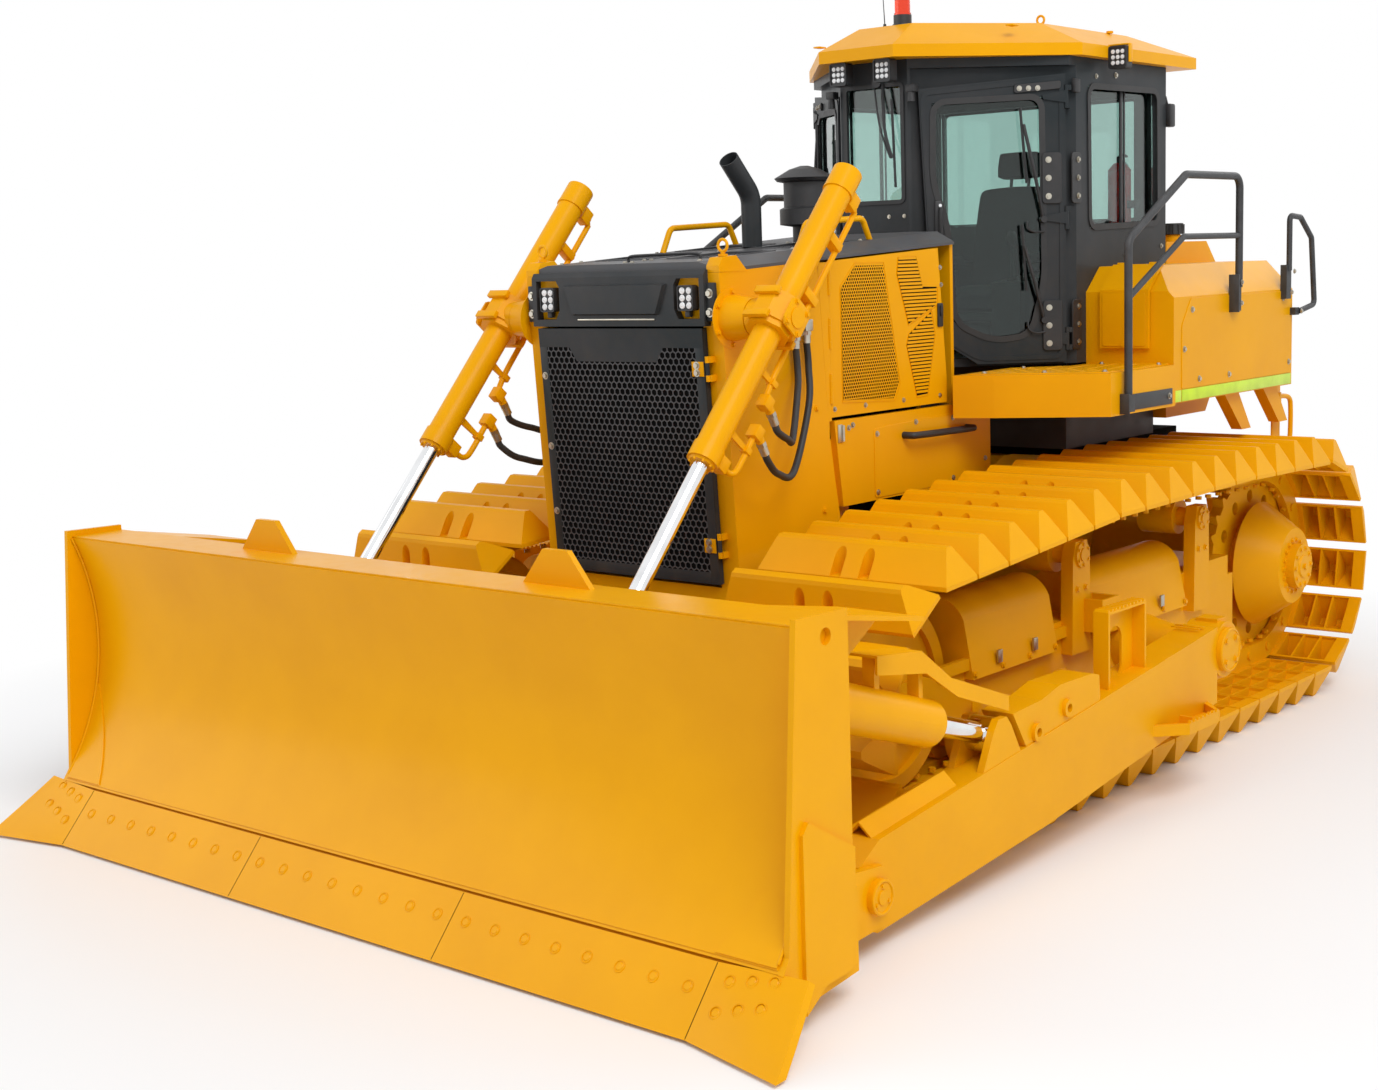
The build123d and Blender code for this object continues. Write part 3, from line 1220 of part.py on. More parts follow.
# end bits: the section turns flatter and reaches forward towards the tip
bit_root_x = 1.5 * edge_segment + 1
bit_tip_section = [(-front_reach, 11), (-2815, 222), (-2794, 204), (-front_reach + 50, 11)]
with BuildPart() as end_bit:
    for x, section in ((bit_root_x, edge_section), (end_bit_reach, bit_tip_section)):
        with BuildSketch(Plane.YZ.offset(x)):
            with BuildLine():
                Polyline(*section, close=True)
            make_face()
    loft(ruled=True)
    with BuildSketch(Plane.XZ.offset(2600)):
        with BuildLine():
            Polyline((end_bit_reach + 2, 10), (end_bit_reach + 2, 300), (2085, 300), (2110, 215), (end_bit_reach, 10), close=True)
        make_face()
    extrude(amount=600, mode=Mode.SUBTRACT)
with BuildPart() as clear_bit:
    add(end_bit.part)
    add(end_plate.part, mode=Mode.SUBTRACT)
    add(moldboard.part, mode=Mode.SUBTRACT)
bit_solid = clear_bit.part.solids().sort_by(SortBy.VOLUME)[-1]
save(Compound(both_sides(bit_solid)), "end_bits")

# push arms: box beams from the trunnion socket to the blade jaws
arm_top_rear, arm_top_front = (trunnion_y - 90, trunnion_z + 118), (arm_front_y + 60, arm_front_z + 180)
arm_slope = (arm_top_rear[1] - arm_top_front[1]) / (arm_top_rear[0] - arm_top_front[0])
arm_outline = [
    arm_top_rear, arm_top_front, (arm_front_y - 60, arm_front_z + 110), (arm_front_y - 90, arm_front_z),
    (arm_front_y - 60, arm_front_z - 110), (arm_front_y + 40, arm_front_z - 150), (-890, 165),
    (trunnion_y - 90, trunnion_z - 230),
]


def arm_top_z(y):
    """Top of the push arm at a place along it."""
    return arm_top_rear[1] + (y - arm_top_rear[0]) * arm_slope


# step frame on the arm: two posts, a tread and a back plate with an arched hole
step_front_y, step_rear_y, step_top_z = -340, -10, 915
step_back = [(step_front_y, arm_top_z(step_front_y) - 4), (step_rear_y, arm_top_z(step_rear_y) - 4),
             (step_rear_y, step_top_z), (step_front_y, step_top_z)]
with BuildPart() as step_frame:
    add(side_plate(step_back, arm_inner_x + 62, 10))
    with BuildSketch(Plane.YZ.offset(arm_inner_x + 50)):
        with Locations(((step_front_y + step_rear_y) / 2, arm_top_z(step_front_y) + 120)):
            SlotOverall(230, 120, rotation=90)
    extrude(amount=40, mode=Mode.SUBTRACT)
    for y in (step_front_y, step_rear_y - 14):
        add(block(arm_inner_x + 62, arm_inner_x + 132, y, y + 14, arm_top_z(y) - 4, step_top_z))
    add(block(arm_inner_x + 62, arm_inner_x + 132, step_front_y, step_rear_y, step_top_z - 10, step_top_z))

# side step: a shallow pan on the arm's outer face
pan_z = 325
pan = [(arm_outer_x - 1, -10), (arm_outer_x + 112, 110), (arm_outer_x + 112, 400), (arm_outer_x - 1, 520)]
pan_hollow = [(arm_outer_x - 2, 26), (arm_outer_x + 98, 118), (arm_outer_x + 98, 392), (arm_outer_x - 2, 482)]
with BuildPart() as side_step:
    add(flat_plate(pan, pan_z, 48))
    add(flat_plate(pan_hollow, pan_z + 10, 60), mode=Mode.SUBTRACT)
    add(block(arm_outer_x - 1, arm_outer_x + 100, 240, 254, pan_z + 2, pan_z + 42))

# angle iron along the front of the arm's top
angle_iron_start, angle_iron_end, angle_iron_half = -2030, -1490, 52
with BuildPart() as angle_iron:
    slope_angle = atan2(arm_slope, 1)
    with BuildSketch(Plane(origin=(arm_inner_x + arm_width / 2, angle_iron_start, arm_top_z(angle_iron_start) - 2),
                           x_dir=(1, 0, 0), z_dir=(0, cos(slope_angle), sin(slope_angle)))):
        with BuildLine():
            Polyline((-angle_iron_half, 0), (0, -angle_iron_half), (angle_iron_half, 0), (angle_iron_half - 12, 0),
                     (0, 12 - angle_iron_half), (12 - angle_iron_half, 0), close=True)
        make_face()
    extrude(amount=angle_iron_end - angle_iron_start)

with BuildPart() as arm:
    add(side_plate(arm_outline, arm_inner_x, arm_width))
    with BuildSketch(Plane.YZ.offset(arm_inner_x)):
        with Locations((trunnion_y, trunnion_z)):
            Circle(128)
    extrude(amount=arm_width)
    with BuildSketch(Plane.YZ.offset(arm_inner_x - 1)):
        with Locations((trunnion_y, trunnion_z)):
            Circle(trunnion_radius + running_gap)
        with Locations((arm_front_y, arm_front_z)):
            Circle(arm_pin_radius + running_gap)
    extrude(amount=arm_width + 2, mode=Mode.SUBTRACT)
    for x in (brace_x - fork_half_gap - fork_plate, brace_x + fork_half_gap):
        add(side_plate(foot_fork, x, fork_plate))
    add(side_plate(hose_block, arm_inner_x + 20, arm_width - 24))
    for y, z in ((brace_foot[0] + 245, 556), (brace_foot[0] + 480, 604)):
        add(cross_cylinder(36, arm_outer_x - 6, arm_outer_x + 12, y, z))
        add(cross_cylinder(18, arm_outer_x - 20, arm_outer_x + 13, y, z), mode=Mode.SUBTRACT)
    # bolted bearing cap ends over the trunnion
    for end in (-1, 1):
        add(block(arm_inner_x + 30, arm_outer_x - 30, trunnion_y - 30, trunnion_y + 60, trunnion_z + end * 118 - 22,
                  trunnion_z + end * 118 + 22))
    add(step_frame.part)
    add(side_step.part)
    add(angle_iron.part)
save(Compound(both_sides(arm.part)), "push_arms")

# tilt cylinder on the left arm and the fixed brace on the right one
brace_length = hypot(brace_foot[0] - brace_head[0], brace_foot[1] - brace_head[1])
brace_angle = atan2(brace_foot[1] - brace_head[1], brace_foot[0] - brace_head[0])


def brace_plane(x, along):
    """A plane across the brace line, a distance from its head."""
    y = brace_head[0] + along * cos(brace_angle)
    z = brace_head[1] + along * sin(brace_angle)
    return Plane(origin=(x, y, z), x_dir=(1, 0, 0), z_dir=(0, cos(brace_angle), sin(brace_angle)))


def brace_rod(x, start, end, radius):
    """A round bar on the brace line."""
    with BuildPart() as bar:
        with BuildSketch(brace_plane(x, start)):
            Circle(radius)
        extrude(amount=end - start)
    return bar.part


with BuildPart() as tilt_barrel:
    add(brace_rod(brace_x, 30, 150, 45))
    add(brace_rod(brace_x, 140, 760, 88))
    add(cross_cylinder(82, brace_x - brace_eye_half, brace_x + brace_eye_half, *brace_head))
    add(brace_rod(brace_x, 420, 740, 60), mode=Mode.SUBTRACT)
    add(brace_rod(brace_x, 730, 761, 42 + running_gap), mode=Mode.SUBTRACT)
# bent hose guard over the barrel, carried on two feet
guard_line = [(-2000, 1042), (-1730, 1012), (-1545, 880), (-1150, 735)]
guard_skirt = [(-1150, 675), (-1500, 800), (-1700, 925), (-2000, 975)]
with BuildPart() as hose_guard:
    add(side_plate(guard_line + guard_skirt, brace_x - 62, 130))
    drop = [(y, z - 9) for y, z in guard_line]
    drop_skirt = [(y, z - 200) for y, z in guard_skirt]
    drop[0], drop[-1] = (-2001, drop[0][1]), (-1149, drop[-1][1])
    drop_skirt[0], drop_skirt[-1] = (-1149, drop_skirt[0][1]), (-2001, drop_skirt[-1][1])
    add(side_plate(drop + drop_skirt, brace_x - 63, 122), mode=Mode.SUBTRACT)
with BuildPart() as guarded_barrel:
    add(tilt_barrel.part)
    add(hose_guard.part)
    add(block(brace_x - 25, brace_x + 25, -1960, -1930, 880, 1031))
    add(block(brace_x - 25, brace_x + 25, -1690, -1665, 800, 965))
save(guarded_barrel.part, "tilt_cylinder_barrel")
with BuildPart() as tilt_rod:
    add(brace_rod(brace_x, 560, brace_length, 42))
    add(brace_rod(brace_x, 560, 620, 60 - running_gap))
    add(cross_cylinder(70, brace_x - brace_eye_half, brace_x + brace_eye_half, *brace_foot))
save(tilt_rod.part, "tilt_cylinder_rod")
with BuildPart() as tilt_brace:
    add(brace_rod(-brace_x, 30, brace_length, 45))
    add(brace_rod(-brace_x, 180, 900, 70))
    add(cross_cylinder(82, -brace_x - brace_eye_half, -brace_x + brace_eye_half, *brace_head))
    add(cross_cylinder(70, -brace_x - brace_eye_half, -brace_x + brace_eye_half, *brace_foot))
save(tilt_brace.part, "tilt_brace")

# ---------------------------------------------------------------- lift cylinders
lift_length = hypot(lift_eye_y - lift_pivot_y, lift_eye_z - lift_pivot_z)
lift_angle = atan2(lift_eye_z - lift_pivot_z, lift_eye_y - lift_pivot_y)


def lift_rod_bar(start, end, radius):
    """A round bar on the left cylinder's line, measured from its pivot towards the eye."""
    y = lift_pivot_y + start * cos(lift_angle)
    z = lift_pivot_z + start * sin(lift_angle)
    with BuildPart() as bar:
        with BuildSketch(Plane(origin=(lift_x, y, z), x_dir=(1, 0, 0), z_dir=(0, cos(lift_angle), sin(lift_angle)))):
            Circle(radius)
        extrude(amount=end - start)
    return bar.part


def lift_prism(start, end, radius):
    """An eight-sided collar on the left cylinder's line."""
    y = lift_pivot_y + start * cos(lift_angle)
    z = lift_pivot_z + start * sin(lift_angle)
    with BuildPart() as collar:
        with BuildSketch(Plane(origin=(lift_x, y, z), x_dir=(1, 0, 0), z_dir=(0, cos(lift_angle), sin(lift_angle)))):
            RegularPolygon(radius, 8, rotation=22.5)
        extrude(amount=end - start)
    return collar.part


with BuildPart() as barrel:
    add(lift_rod_bar(-barrel_above, barrel_below, barrel_radius))
    add(lift_rod_bar(-barrel_above, -barrel_above + 110, barrel_radius + 5))
    add(lift_rod_bar(barrel_below - 70, barrel_below, barrel_radius + 6))
    add(lift_prism(-78, 78, barrel_radius + 34))
    add(lift_prism(-52, 52, barrel_radius + 44))
    add(cross_cylinder(78, boss_reach + 4, lift_x, lift_pivot_y, lift_pivot_z))
    add(cross_cylinder(30 + running_gap, boss_reach + 3, boss_reach + 41, lift_pivot_y, lift_pivot_z), mode=Mode.SUBTRACT)
    add(lift_rod_bar(-barrel_above + 40, barrel_below - 25, barrel_bore), mode=Mode.SUBTRACT)
    add(lift_rod_bar(barrel_below - 30, barrel_below + 1, rod_radius + running_gap), mode=Mode.SUBTRACT)
save(barrel.part, "lift_cylinder_left")
save(mirror(barrel.part, about=Plane.YZ), "lift_cylinder_right")

with BuildPart() as lift_rod:
    add(lift_rod_bar(barrel_below - rod_hidden, lift_length, rod_radius))
    add(lift_rod_bar(barrel_below - rod_hidden, barrel_below - rod_hidden + 60, barrel_bore - running_gap))
    add(cross_cylinder(62, lift_x - 46, lift_x + 46, lift_eye_y, lift_eye_z))
    add(cross_cylinder(31, lift_x - 47, lift_x + 47, lift_eye_y, lift_eye_z), mode=Mode.SUBTRACT)
save(lift_rod.part, "lift_rod_left")
save(mirror(lift_rod.part, about=Plane.YZ), "lift_rod_right")
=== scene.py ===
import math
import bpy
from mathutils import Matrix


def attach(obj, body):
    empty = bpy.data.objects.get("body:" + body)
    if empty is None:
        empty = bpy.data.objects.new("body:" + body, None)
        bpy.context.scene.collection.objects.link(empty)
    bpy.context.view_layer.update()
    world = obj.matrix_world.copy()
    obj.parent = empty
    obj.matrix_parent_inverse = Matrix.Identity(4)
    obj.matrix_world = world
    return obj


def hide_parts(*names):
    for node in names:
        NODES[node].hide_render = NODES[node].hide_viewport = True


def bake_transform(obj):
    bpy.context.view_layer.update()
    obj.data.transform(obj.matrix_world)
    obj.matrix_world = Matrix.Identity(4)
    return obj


bl_info = {
    "name": "Crawler bulldozer",
    "version": (1, 0, 0),
    "blender": (4, 5, 0),
    "location": "3D Viewport > Sidebar > Bulldozer",
    "description": "Finishes and small parts of a crawler bulldozer around its packed CAD frame",
    "category": "Object",
}

import bmesh
import bpy
from mathutils import Matrix, Vector

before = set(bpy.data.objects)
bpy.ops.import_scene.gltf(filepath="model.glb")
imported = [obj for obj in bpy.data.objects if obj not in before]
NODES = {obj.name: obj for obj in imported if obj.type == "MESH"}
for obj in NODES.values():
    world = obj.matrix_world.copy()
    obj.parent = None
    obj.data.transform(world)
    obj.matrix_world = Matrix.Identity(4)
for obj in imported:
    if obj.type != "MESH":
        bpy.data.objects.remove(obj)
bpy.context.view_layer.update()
X, Y, Z = Vector((1, 0, 0)), Vector((0, 1, 0)), Vector((0, 0, 1))


# ---------------------------------------------------------------- sizes and colours
def colour(name, default, description):
    return bpy.props.FloatVectorProperty(
        name=name, default=default, description=description, subtype="COLOR", size=3, min=0, max=1)


def length(name, default, description):
    return bpy.props.FloatProperty(
        name=name, default=default, description=description, unit="LENGTH", min=0.0001)


def power(name, default, description):
    return bpy.props.FloatProperty(name=name, default=default, description=description, min=0, unit="POWER")


class PaintColours(bpy.types.PropertyGroup):
    yellow: colour("Yellow", (0.86, 0.395, 0.0), "Paint of the machine's body")
    faded_yellow: colour("Faded yellow", (0.80, 0.355, 0.001), "The body paint where it has dulled")
    charcoal: colour("Charcoal", (0.023, 0.029, 0.032), "Paint of the cab and the nose trim")
    hood_grey: colour("Hood grey", (0.085, 0.087, 0.092), "Paint of the hood top")
    dust: colour("Dust", (0.50, 0.30, 0.10), "Dust on low and level surfaces")
    reflective: colour("Reflective strip", (0.62, 0.85, 0.02), "Strip along the fender boxes")
    beacon: colour("Beacon", (0.85, 0.05, 0.01), "Lens of the warning lamp")


class BoltSizes(bpy.types.PropertyGroup):
    frame_head: length("Frame bolt", 0.014, "Radius of a bolt head on the frames")
    cover_head: length("Cover screw", 0.008, "Radius of a screw head on covers and the cab")


class MeshSizes(bpy.types.PropertyGroup):
    grille_pitch: length("Grille pitch", 0.030, "Distance between hole centres of the nose grille")
    door_pitch: length("Door pitch", 0.0165, "Distance between hole centres of the engine doors")
    web: bpy.props.FloatProperty(name="Web", default=0.2,
                                 description="Share of the pitch left between two holes",
                                 min=0.05, max=0.6, subtype="FACTOR")


class HoseSizes(bpy.types.PropertyGroup):
    hose: length("Hose", 0.030, "Outside diameter of a hydraulic hose")
    pipe: length("Pipe", 0.026, "Outside diameter of a steel line")


class StageSettings(bpy.types.PropertyGroup):
    floor: colour("Floor", (0.9, 0.9, 0.9), "Colour of the floor")
    key: power("Key light", 1050, "Power of the large soft light")
    fill: power("Fill light", 220, "Power of the fill light")
    sky: bpy.props.FloatProperty(name="Sky", default=0.62, description="Strength of the light from all round",
                                 min=0)


GROUPS = {
    "dozer_paint": PaintColours, "dozer_bolts": BoltSizes, "dozer_mesh": MeshSizes,
    "dozer_hoses": HoseSizes, "dozer_stage": StageSettings,
}


def settings(name):
    return getattr(bpy.context.scene, name)


# ---------------------------------------------------------------- shader groups
def wire(tree, start, end):
    tree.links.new(start, end)


def new_group(name, inputs, outputs):
    """A shader node group with named sockets, each a (type, name, default)."""
    group = bpy.data.node_groups.new(name, "ShaderNodeTree")
    for kind, label, default in inputs:
        socket = group.interface.new_socket(label, in_out="INPUT", socket_type=kind)
        socket.default_value = default
    for kind, label in outputs:
        group.interface.new_socket(label, in_out="OUTPUT", socket_type=kind)
    return group, group.nodes.new("NodeGroupInput"), group.nodes.new("NodeGroupOutput")


FLOAT, COLOR = "NodeSocketFloat", "NodeSocketColor"


def mix_colour(tree, factor, first, second):
    node = tree.nodes.new("ShaderNodeMix")
    node.data_type = "RGBA"
    wire(tree, factor, node.inputs["Factor"])
    wire(tree, first, node.inputs["A"])
    wire(tree, second, node.inputs["B"])
    return node.outputs["Result"]


def calculate(tree, operation, *values, clamp=False):
    node = tree.nodes.new("ShaderNodeMath")
    node.operation = operation
    node.use_clamp = clamp
    for socket, value in zip(node.inputs, values):
        if isinstance(value, (int, float)):
            socket.default_value = value
        else:
            wire(tree, value, socket)
    return node.outputs[0]


def noise(tree, place, scale, detail=4, roughness=0.55):
    node = tree.nodes.new("ShaderNodeTexNoise")
    node.inputs["Detail"].default_value = detail
    node.inputs["Roughness"].default_value = roughness
    if isinstance(scale, (int, float)):
        node.inputs["Scale"].default_value = scale
    else:
        wire(tree, scale, node.inputs["Scale"])
    wire(tree, place, node.inputs["Vector"])
    return node.outputs["Fac"]


def stretch(tree, value, low, high, to_low=0.0, to_high=1.0):
    node = tree.nodes.new("ShaderNodeMapRange")
    for socket, number in zip(("From Min", "From Max", "To Min", "To Max"), (low, high, to_low, to_high)):
        node.inputs[socket].default_value = number
    wire(tree, value, node.inputs["Value"])
    return node.outputs["Result"]


def build_worn_paint():
    """Paint that dulls in patches, gathers dust low down and on level faces, and has a fine skin."""
    group, given, out = new_group(
        "worn_paint",
        [(COLOR, "Paint", (1, 1, 1, 1)), (COLOR, "Faded", (1, 1, 1, 1)), (COLOR, "Dust", (1, 1, 1, 1)),
         (FLOAT, "Dust Amount", 0.3), (FLOAT, "Dust Height", 1.5), (FLOAT, "Roughness", 0.35),
         (FLOAT, "Skin Scale", 260.0)],
        [(COLOR, "Colour"), (FLOAT, "Roughness"), (FLOAT, "Height")])
    place = group.nodes.new("ShaderNodeTexCoord").outputs["Object"]
    patches = stretch(group, noise(group, place, 1.7), 0.35, 0.7)
    streaks = stretch(group, noise(group, place, 14.0, 6), 0.42, 0.75)
    split = group.nodes.new("ShaderNodeSeparateXYZ")
    wire(group, place, split.inputs[0])
    height = calculate(group, "DIVIDE", split.outputs["Z"], given.outputs["Dust Height"])
    low = calculate(group, "SUBTRACT", 1.0, height, clamp=True)
    facing = group.nodes.new("ShaderNodeNewGeometry")
    turned = group.nodes.new("ShaderNodeSeparateXYZ")
    wire(group, facing.outputs["Normal"], turned.inputs[0])
    level = stretch(group, turned.outputs["Z"], 0.6, 1.0, 0.0, 0.35)
    where = calculate(group, "ADD", low, level, clamp=True)
    mask = calculate(group, "MULTIPLY", where, streaks)
    mask = calculate(group, "MULTIPLY", mask, given.outputs["Dust Amount"], clamp=True)
    base = mix_colour(group, patches, given.outputs["Paint"], given.outputs["Faded"])
    wire(group, mix_colour(group, mask, base, given.outputs["Dust"]), out.inputs["Colour"])
    rough = calculate(group, "ADD", given.outputs["Roughness"], calculate(group, "MULTIPLY", mask, 0.6))
    rough = calculate(group, "ADD", rough, calculate(group, "MULTIPLY", streaks, 0.05), clamp=True)
    wire(group, rough, out.inputs["Roughness"])
    wire(group, noise(group, place, given.outputs["Skin Scale"], 2), out.inputs["Height"])
    return group


def build_rubbed_surface():
    """Grain and rub marks of bare metal, rubber, cloth or plastic."""
    group, given, out = new_group(
        "rubbed_surface",
        [(COLOR, "Base", (1, 1, 1, 1)), (COLOR, "Rubbed", (1, 1, 1, 1)), (FLOAT, "Roughness", 0.4),
         (FLOAT, "Spread", 0.15), (FLOAT, "Grain Scale", 120.0)],
        [(COLOR, "Colour"), (FLOAT, "Roughness"), (FLOAT, "Height")])
    place = group.nodes.new("ShaderNodeTexCoord").outputs["Object"]
    marks = stretch(group, noise(group, place, 9.0, 6), 0.38, 0.72)
    grain = noise(group, place, given.outputs["Grain Scale"], 3)
    wire(group, mix_colour(group, marks, given.outputs["Base"], given.outputs["Rubbed"]),
         out.inputs["Colour"])
    rough = calculate(group, "MULTIPLY_ADD", marks, given.outputs["Spread"], given.outputs["Roughness"],
                      clamp=True)
    wire(group, rough, out.inputs["Roughness"])
    wire(group, grain, out.inputs["Height"])
    return group


def shader_group(name):
    made = {"worn_paint": build_worn_paint, "rubbed_surface": build_rubbed_surface}
    return bpy.data.node_groups.get(name) or made[name]()


# ---------------------------------------------------------------- materials
def new_material(name, group_name, values, shader, bump):
    """A material whose colour, roughness and fine height come from one shader group."""
    made = bpy.data.materials.new(name)
    made.use_nodes = True
    tree = made.node_tree
    principled = tree.nodes["Principled BSDF"]
    group = tree.nodes.new("ShaderNodeGroup")
    group.node_tree = shader_group(group_name)
    for label, value in values.items():
        group.inputs[label].default_value = (*value, 1) if hasattr(value, "__len__") else value
    for label, value in shader.items():
        principled.inputs[label].default_value = value
    wire(tree, group.outputs["Colour"], principled.inputs["Base Color"])
    wire(tree, group.outputs["Roughness"], principled.inputs["Roughness"])
    node = tree.nodes.new("ShaderNodeBump")
    node.inputs["Strength"].default_value = bump
    node.inputs["Distance"].default_value = 0.001
    wire(tree, group.outputs["Height"], node.inputs["Height"])
    wire(tree, node.outputs["Normal"], principled.inputs["Normal"])
    return made


def paint(name, base, faded, roughness=0.34, coat=0.03, dust_amount=0.04, dust_height=1.4, skin=260.0,
          bump=0.06):
    values = {"Paint": base, "Faded": faded, "Dust": tuple(settings("dozer_paint").dust),
              "Dust Amount": dust_amount,
              "Dust Height": dust_height, "Roughness": roughness, "Skin Scale": skin}
    return new_material(name, "worn_paint", values,
                        {"Coat Weight": coat, "Coat Roughness": 0.15, "Specular IOR Level": 0.1}, bump)


def socket_name(word):
    return word.replace("_", " ").title().replace("Ior", "IOR")


def rubbed(name, base, mark, roughness, spread=0.15, grain=120.0, bump=0.2, **shader):
    values = {"Base": base, "Rubbed": mark, "Roughness": roughness, "Spread": spread, "Grain Scale": grain}
    return new_material(name, "rubbed_surface", values, {socket_name(k): v for k, v in shader.items()}, bump)


def clear_glass(name, tint, roughness=0.0):
    made = rubbed(name, tint, tint, roughness, 0.01, 60.0, 0.0)
    shader = made.node_tree.nodes["Principled BSDF"]
    shader.inputs["Transmission Weight"].default_value = 1.0
    shader.inputs["IOR"].default_value = 1.45
    return made


def build_finishes():
    colours = settings("dozer_paint")
    yellow, faded = tuple(colours.yellow), tuple(colours.faded_yellow)
    charcoal, grey = tuple(colours.charcoal), tuple(colours.hood_grey)
    return {
        "body": paint("body_paint", yellow, faded),
        "blade": paint("blade_paint", yellow, faded, roughness=0.3, coat=0.04, dust_amount=0.02,
                       dust_height=0.8),
        "track": paint("track_paint", yellow, faded, roughness=0.4, coat=0.02, dust_amount=0.05,
                       dust_height=1.7,
                       bump=0.15),
        "charcoal": paint("charcoal_paint", charcoal, (0.05, 0.05, 0.052), roughness=0.42, coat=0.1,
                          dust_amount=0.06, dust_height=3.0),
        "hood": paint("hood_paint", grey, (0.11, 0.112, 0.118), roughness=0.45, coat=0.05, dust_amount=0.12,
                      dust_height=3.0),
        "rail": rubbed("rail_coating", (0.022, 0.023, 0.025), (0.05, 0.05, 0.052), 0.48, 0.1, 900.0, 0.5),
        "chrome": rubbed("rod_chrome", (0.86, 0.87, 0.88), (0.74, 0.75, 0.76), 0.06, 0.06, 30.0, 0.0,
                         metallic=1.0),
        "steel": rubbed("bare_steel", (0.42, 0.41, 0.39), (0.26, 0.25, 0.24), 0.34, 0.2, 300.0, 0.2,
                        metallic=1.0),
        "zinc": rubbed("plated_fitting", (0.55, 0.52, 0.44), (0.38, 0.36, 0.31), 0.3, 0.15, 200.0, 0.1,
                       metallic=1.0),
        "rubber": rubbed("hose_rubber", (0.012, 0.012, 0.013), (0.03, 0.03, 0.03), 0.5, 0.2, 700.0, 0.4),
        "plastic": rubbed("black_plastic", (0.014, 0.014, 0.015), (0.028, 0.028, 0.03), 0.45, 0.15, 900.0,
                          0.3),
        # Near-black finish: given to the inner CAD parts, and laid as painted shade behind the holes of the
        # grille and engine doors and in the seams of the hood and the cutting edge.
        "dark": rubbed("black_and_painted_shade", (0.003, 0.003, 0.003), (0.006, 0.006, 0.006), 0.9, 0.05, 50.0, 0.1,
                       specular_ior_level=0.05),
        "mesh": paint("mesh_paint", (0.075, 0.076, 0.08), (0.10, 0.10, 0.104), roughness=0.4, coat=0.1,
                      dust_amount=0.02,
                      dust_height=3.0),
        "cloth": rubbed("seat_cloth", (0.02, 0.021, 0.024), (0.028, 0.029, 0.033), 0.9, 0.1, 2400.0, 0.15),
        "red": rubbed("extinguisher_red", (0.6, 0.012, 0.01), (0.45, 0.01, 0.008), 0.25, 0.1, 80.0, 0.05),
        "reflector": rubbed("lamp_reflector", (0.86, 0.87, 0.88), (0.7, 0.71, 0.72), 0.2, 0.1, 400.0, 0.1),
        "strip": rubbed("reflective_strip", tuple(colours.reflective), (0.5, 0.7, 0.02), 0.3, 0.1, 1200.0,
                        0.3),
        "glass": clear_glass("cab_glass_tint", (0.50, 0.66, 0.62)),
        "beacon": clear_glass("beacon_lens", tuple(colours.beacon), 0.1),
    }


FINISH = {}
NODE_CREASE = 28
NODE_FINISH = {
    "charcoal": ["cab_frame", "cab_door_left", "cab_door_right", "nose_bezel", "grille_door", "exhaust_pipe"],
    "hood": ["hood_top"],
    "rail": ["handrails"],
    "plastic": ["pre_cleaner", "consoles", "cab_floor", "work_lights", "headlamps"],
    "glass": ["cab_glass", "cab_door_glass_left", "cab_door_glass_right"],
    "chrome": ["lift_rod_left", "lift_rod_right", "tilt_cylinder_rod"],
    "beacon": ["beacon"],
    "cloth": ["seat"],
    "dark": ["radiator_core", "engine_block", "cab_mounts", "pivot_shafts"],
    "track": ["track_left", "track_right", "track_rollers", "sprockets", "idlers", "track_frames",
              "recoil_covers", "final_drives"],
    "blade": ["moldboard", "end_plates", "cutting_edge", "end_bits"],
}


def paint_nodes():
    """Gives every CAD node its finish; what no list names is body paint."""
    chosen = {node: finish for finish, nodes in NODE_FINISH.items() for node in nodes}
    for node, obj in NODES.items():
        finish = FINISH[chosen.get(node, "body")]
        obj.data.materials.clear()
        obj.data.materials.append(finish)
        obj.data.polygons.foreach_set("use_smooth", [True] * len(obj.data.polygons))
        obj.data.set_sharp_from_angle(angle=math.radians(NODE_CREASE))


# ---------------------------------------------------------------- mesh helpers
def new_verts(made):
    return [v for v in made.get("verts", made.get("geom", [])) if isinstance(v, bmesh.types.BMVert)]


def pointing(direction):
    """A rotation that takes +Z to a direction."""
    return Vector(direction).to_track_quat("Z", "Y").to_matrix().to_4x4()


def bar(bm, start, end, radius, sides=20, end_radius=None):
    """A round bar between two points."""
    start, end = Vector(start), Vector(end)
    axis = end - start
    middle, far_radius = (start + end) / 2, radius if end_radius is None else end_radius
    made = bmesh.ops.create_cone(bm, cap_ends=True, segments=sides, radius1=radius, radius2=far_radius,
                                 depth=axis.length, matrix=Matrix.Translation(middle) @ pointing(axis))
    return made["verts"]


def break_edges(bm, edges, offset, segments=2):
    bmesh.ops.bevel(bm, geom=edges, offset=offset, offset_type="OFFSET", segments=segments, profile=0.5,
                    affect="EDGES", material=-1)


def slab(bm, low, high, bevel=0.0, turn=None):
    """A block between two corners, with its edges broken by a bevel; turn is applied about its middle."""
    low, high = Vector(low), Vector(high)
    place = Matrix.Translation((low + high) / 2)
    matrix = place @ (turn or Matrix.Identity(4)) @ Matrix.Diagonal((*(high - low), 1))
    made = bmesh.ops.create_cube(bm, size=1, matrix=matrix)
    if bevel:
        edges = list({e for v in made["verts"] for e in v.link_edges})
        break_edges(bm, edges, bevel)


def plate(bm, corners, push, bevel=0.0):
    """A flat plate from its corner points, thickened along a vector."""
    face = bm.faces.new([bm.verts.new(c) for c in corners])
    made = bmesh.ops.extrude_face_region(bm, geom=[face])
    moved = new_verts(made)
    bmesh.ops.translate(bm, vec=Vector(push), verts=moved)
    if bevel:
        edges = [e for v in moved for e in v.link_edges if e.other_vert(v) in moved]
        break_edges(bm, list(set(edges)), bevel)


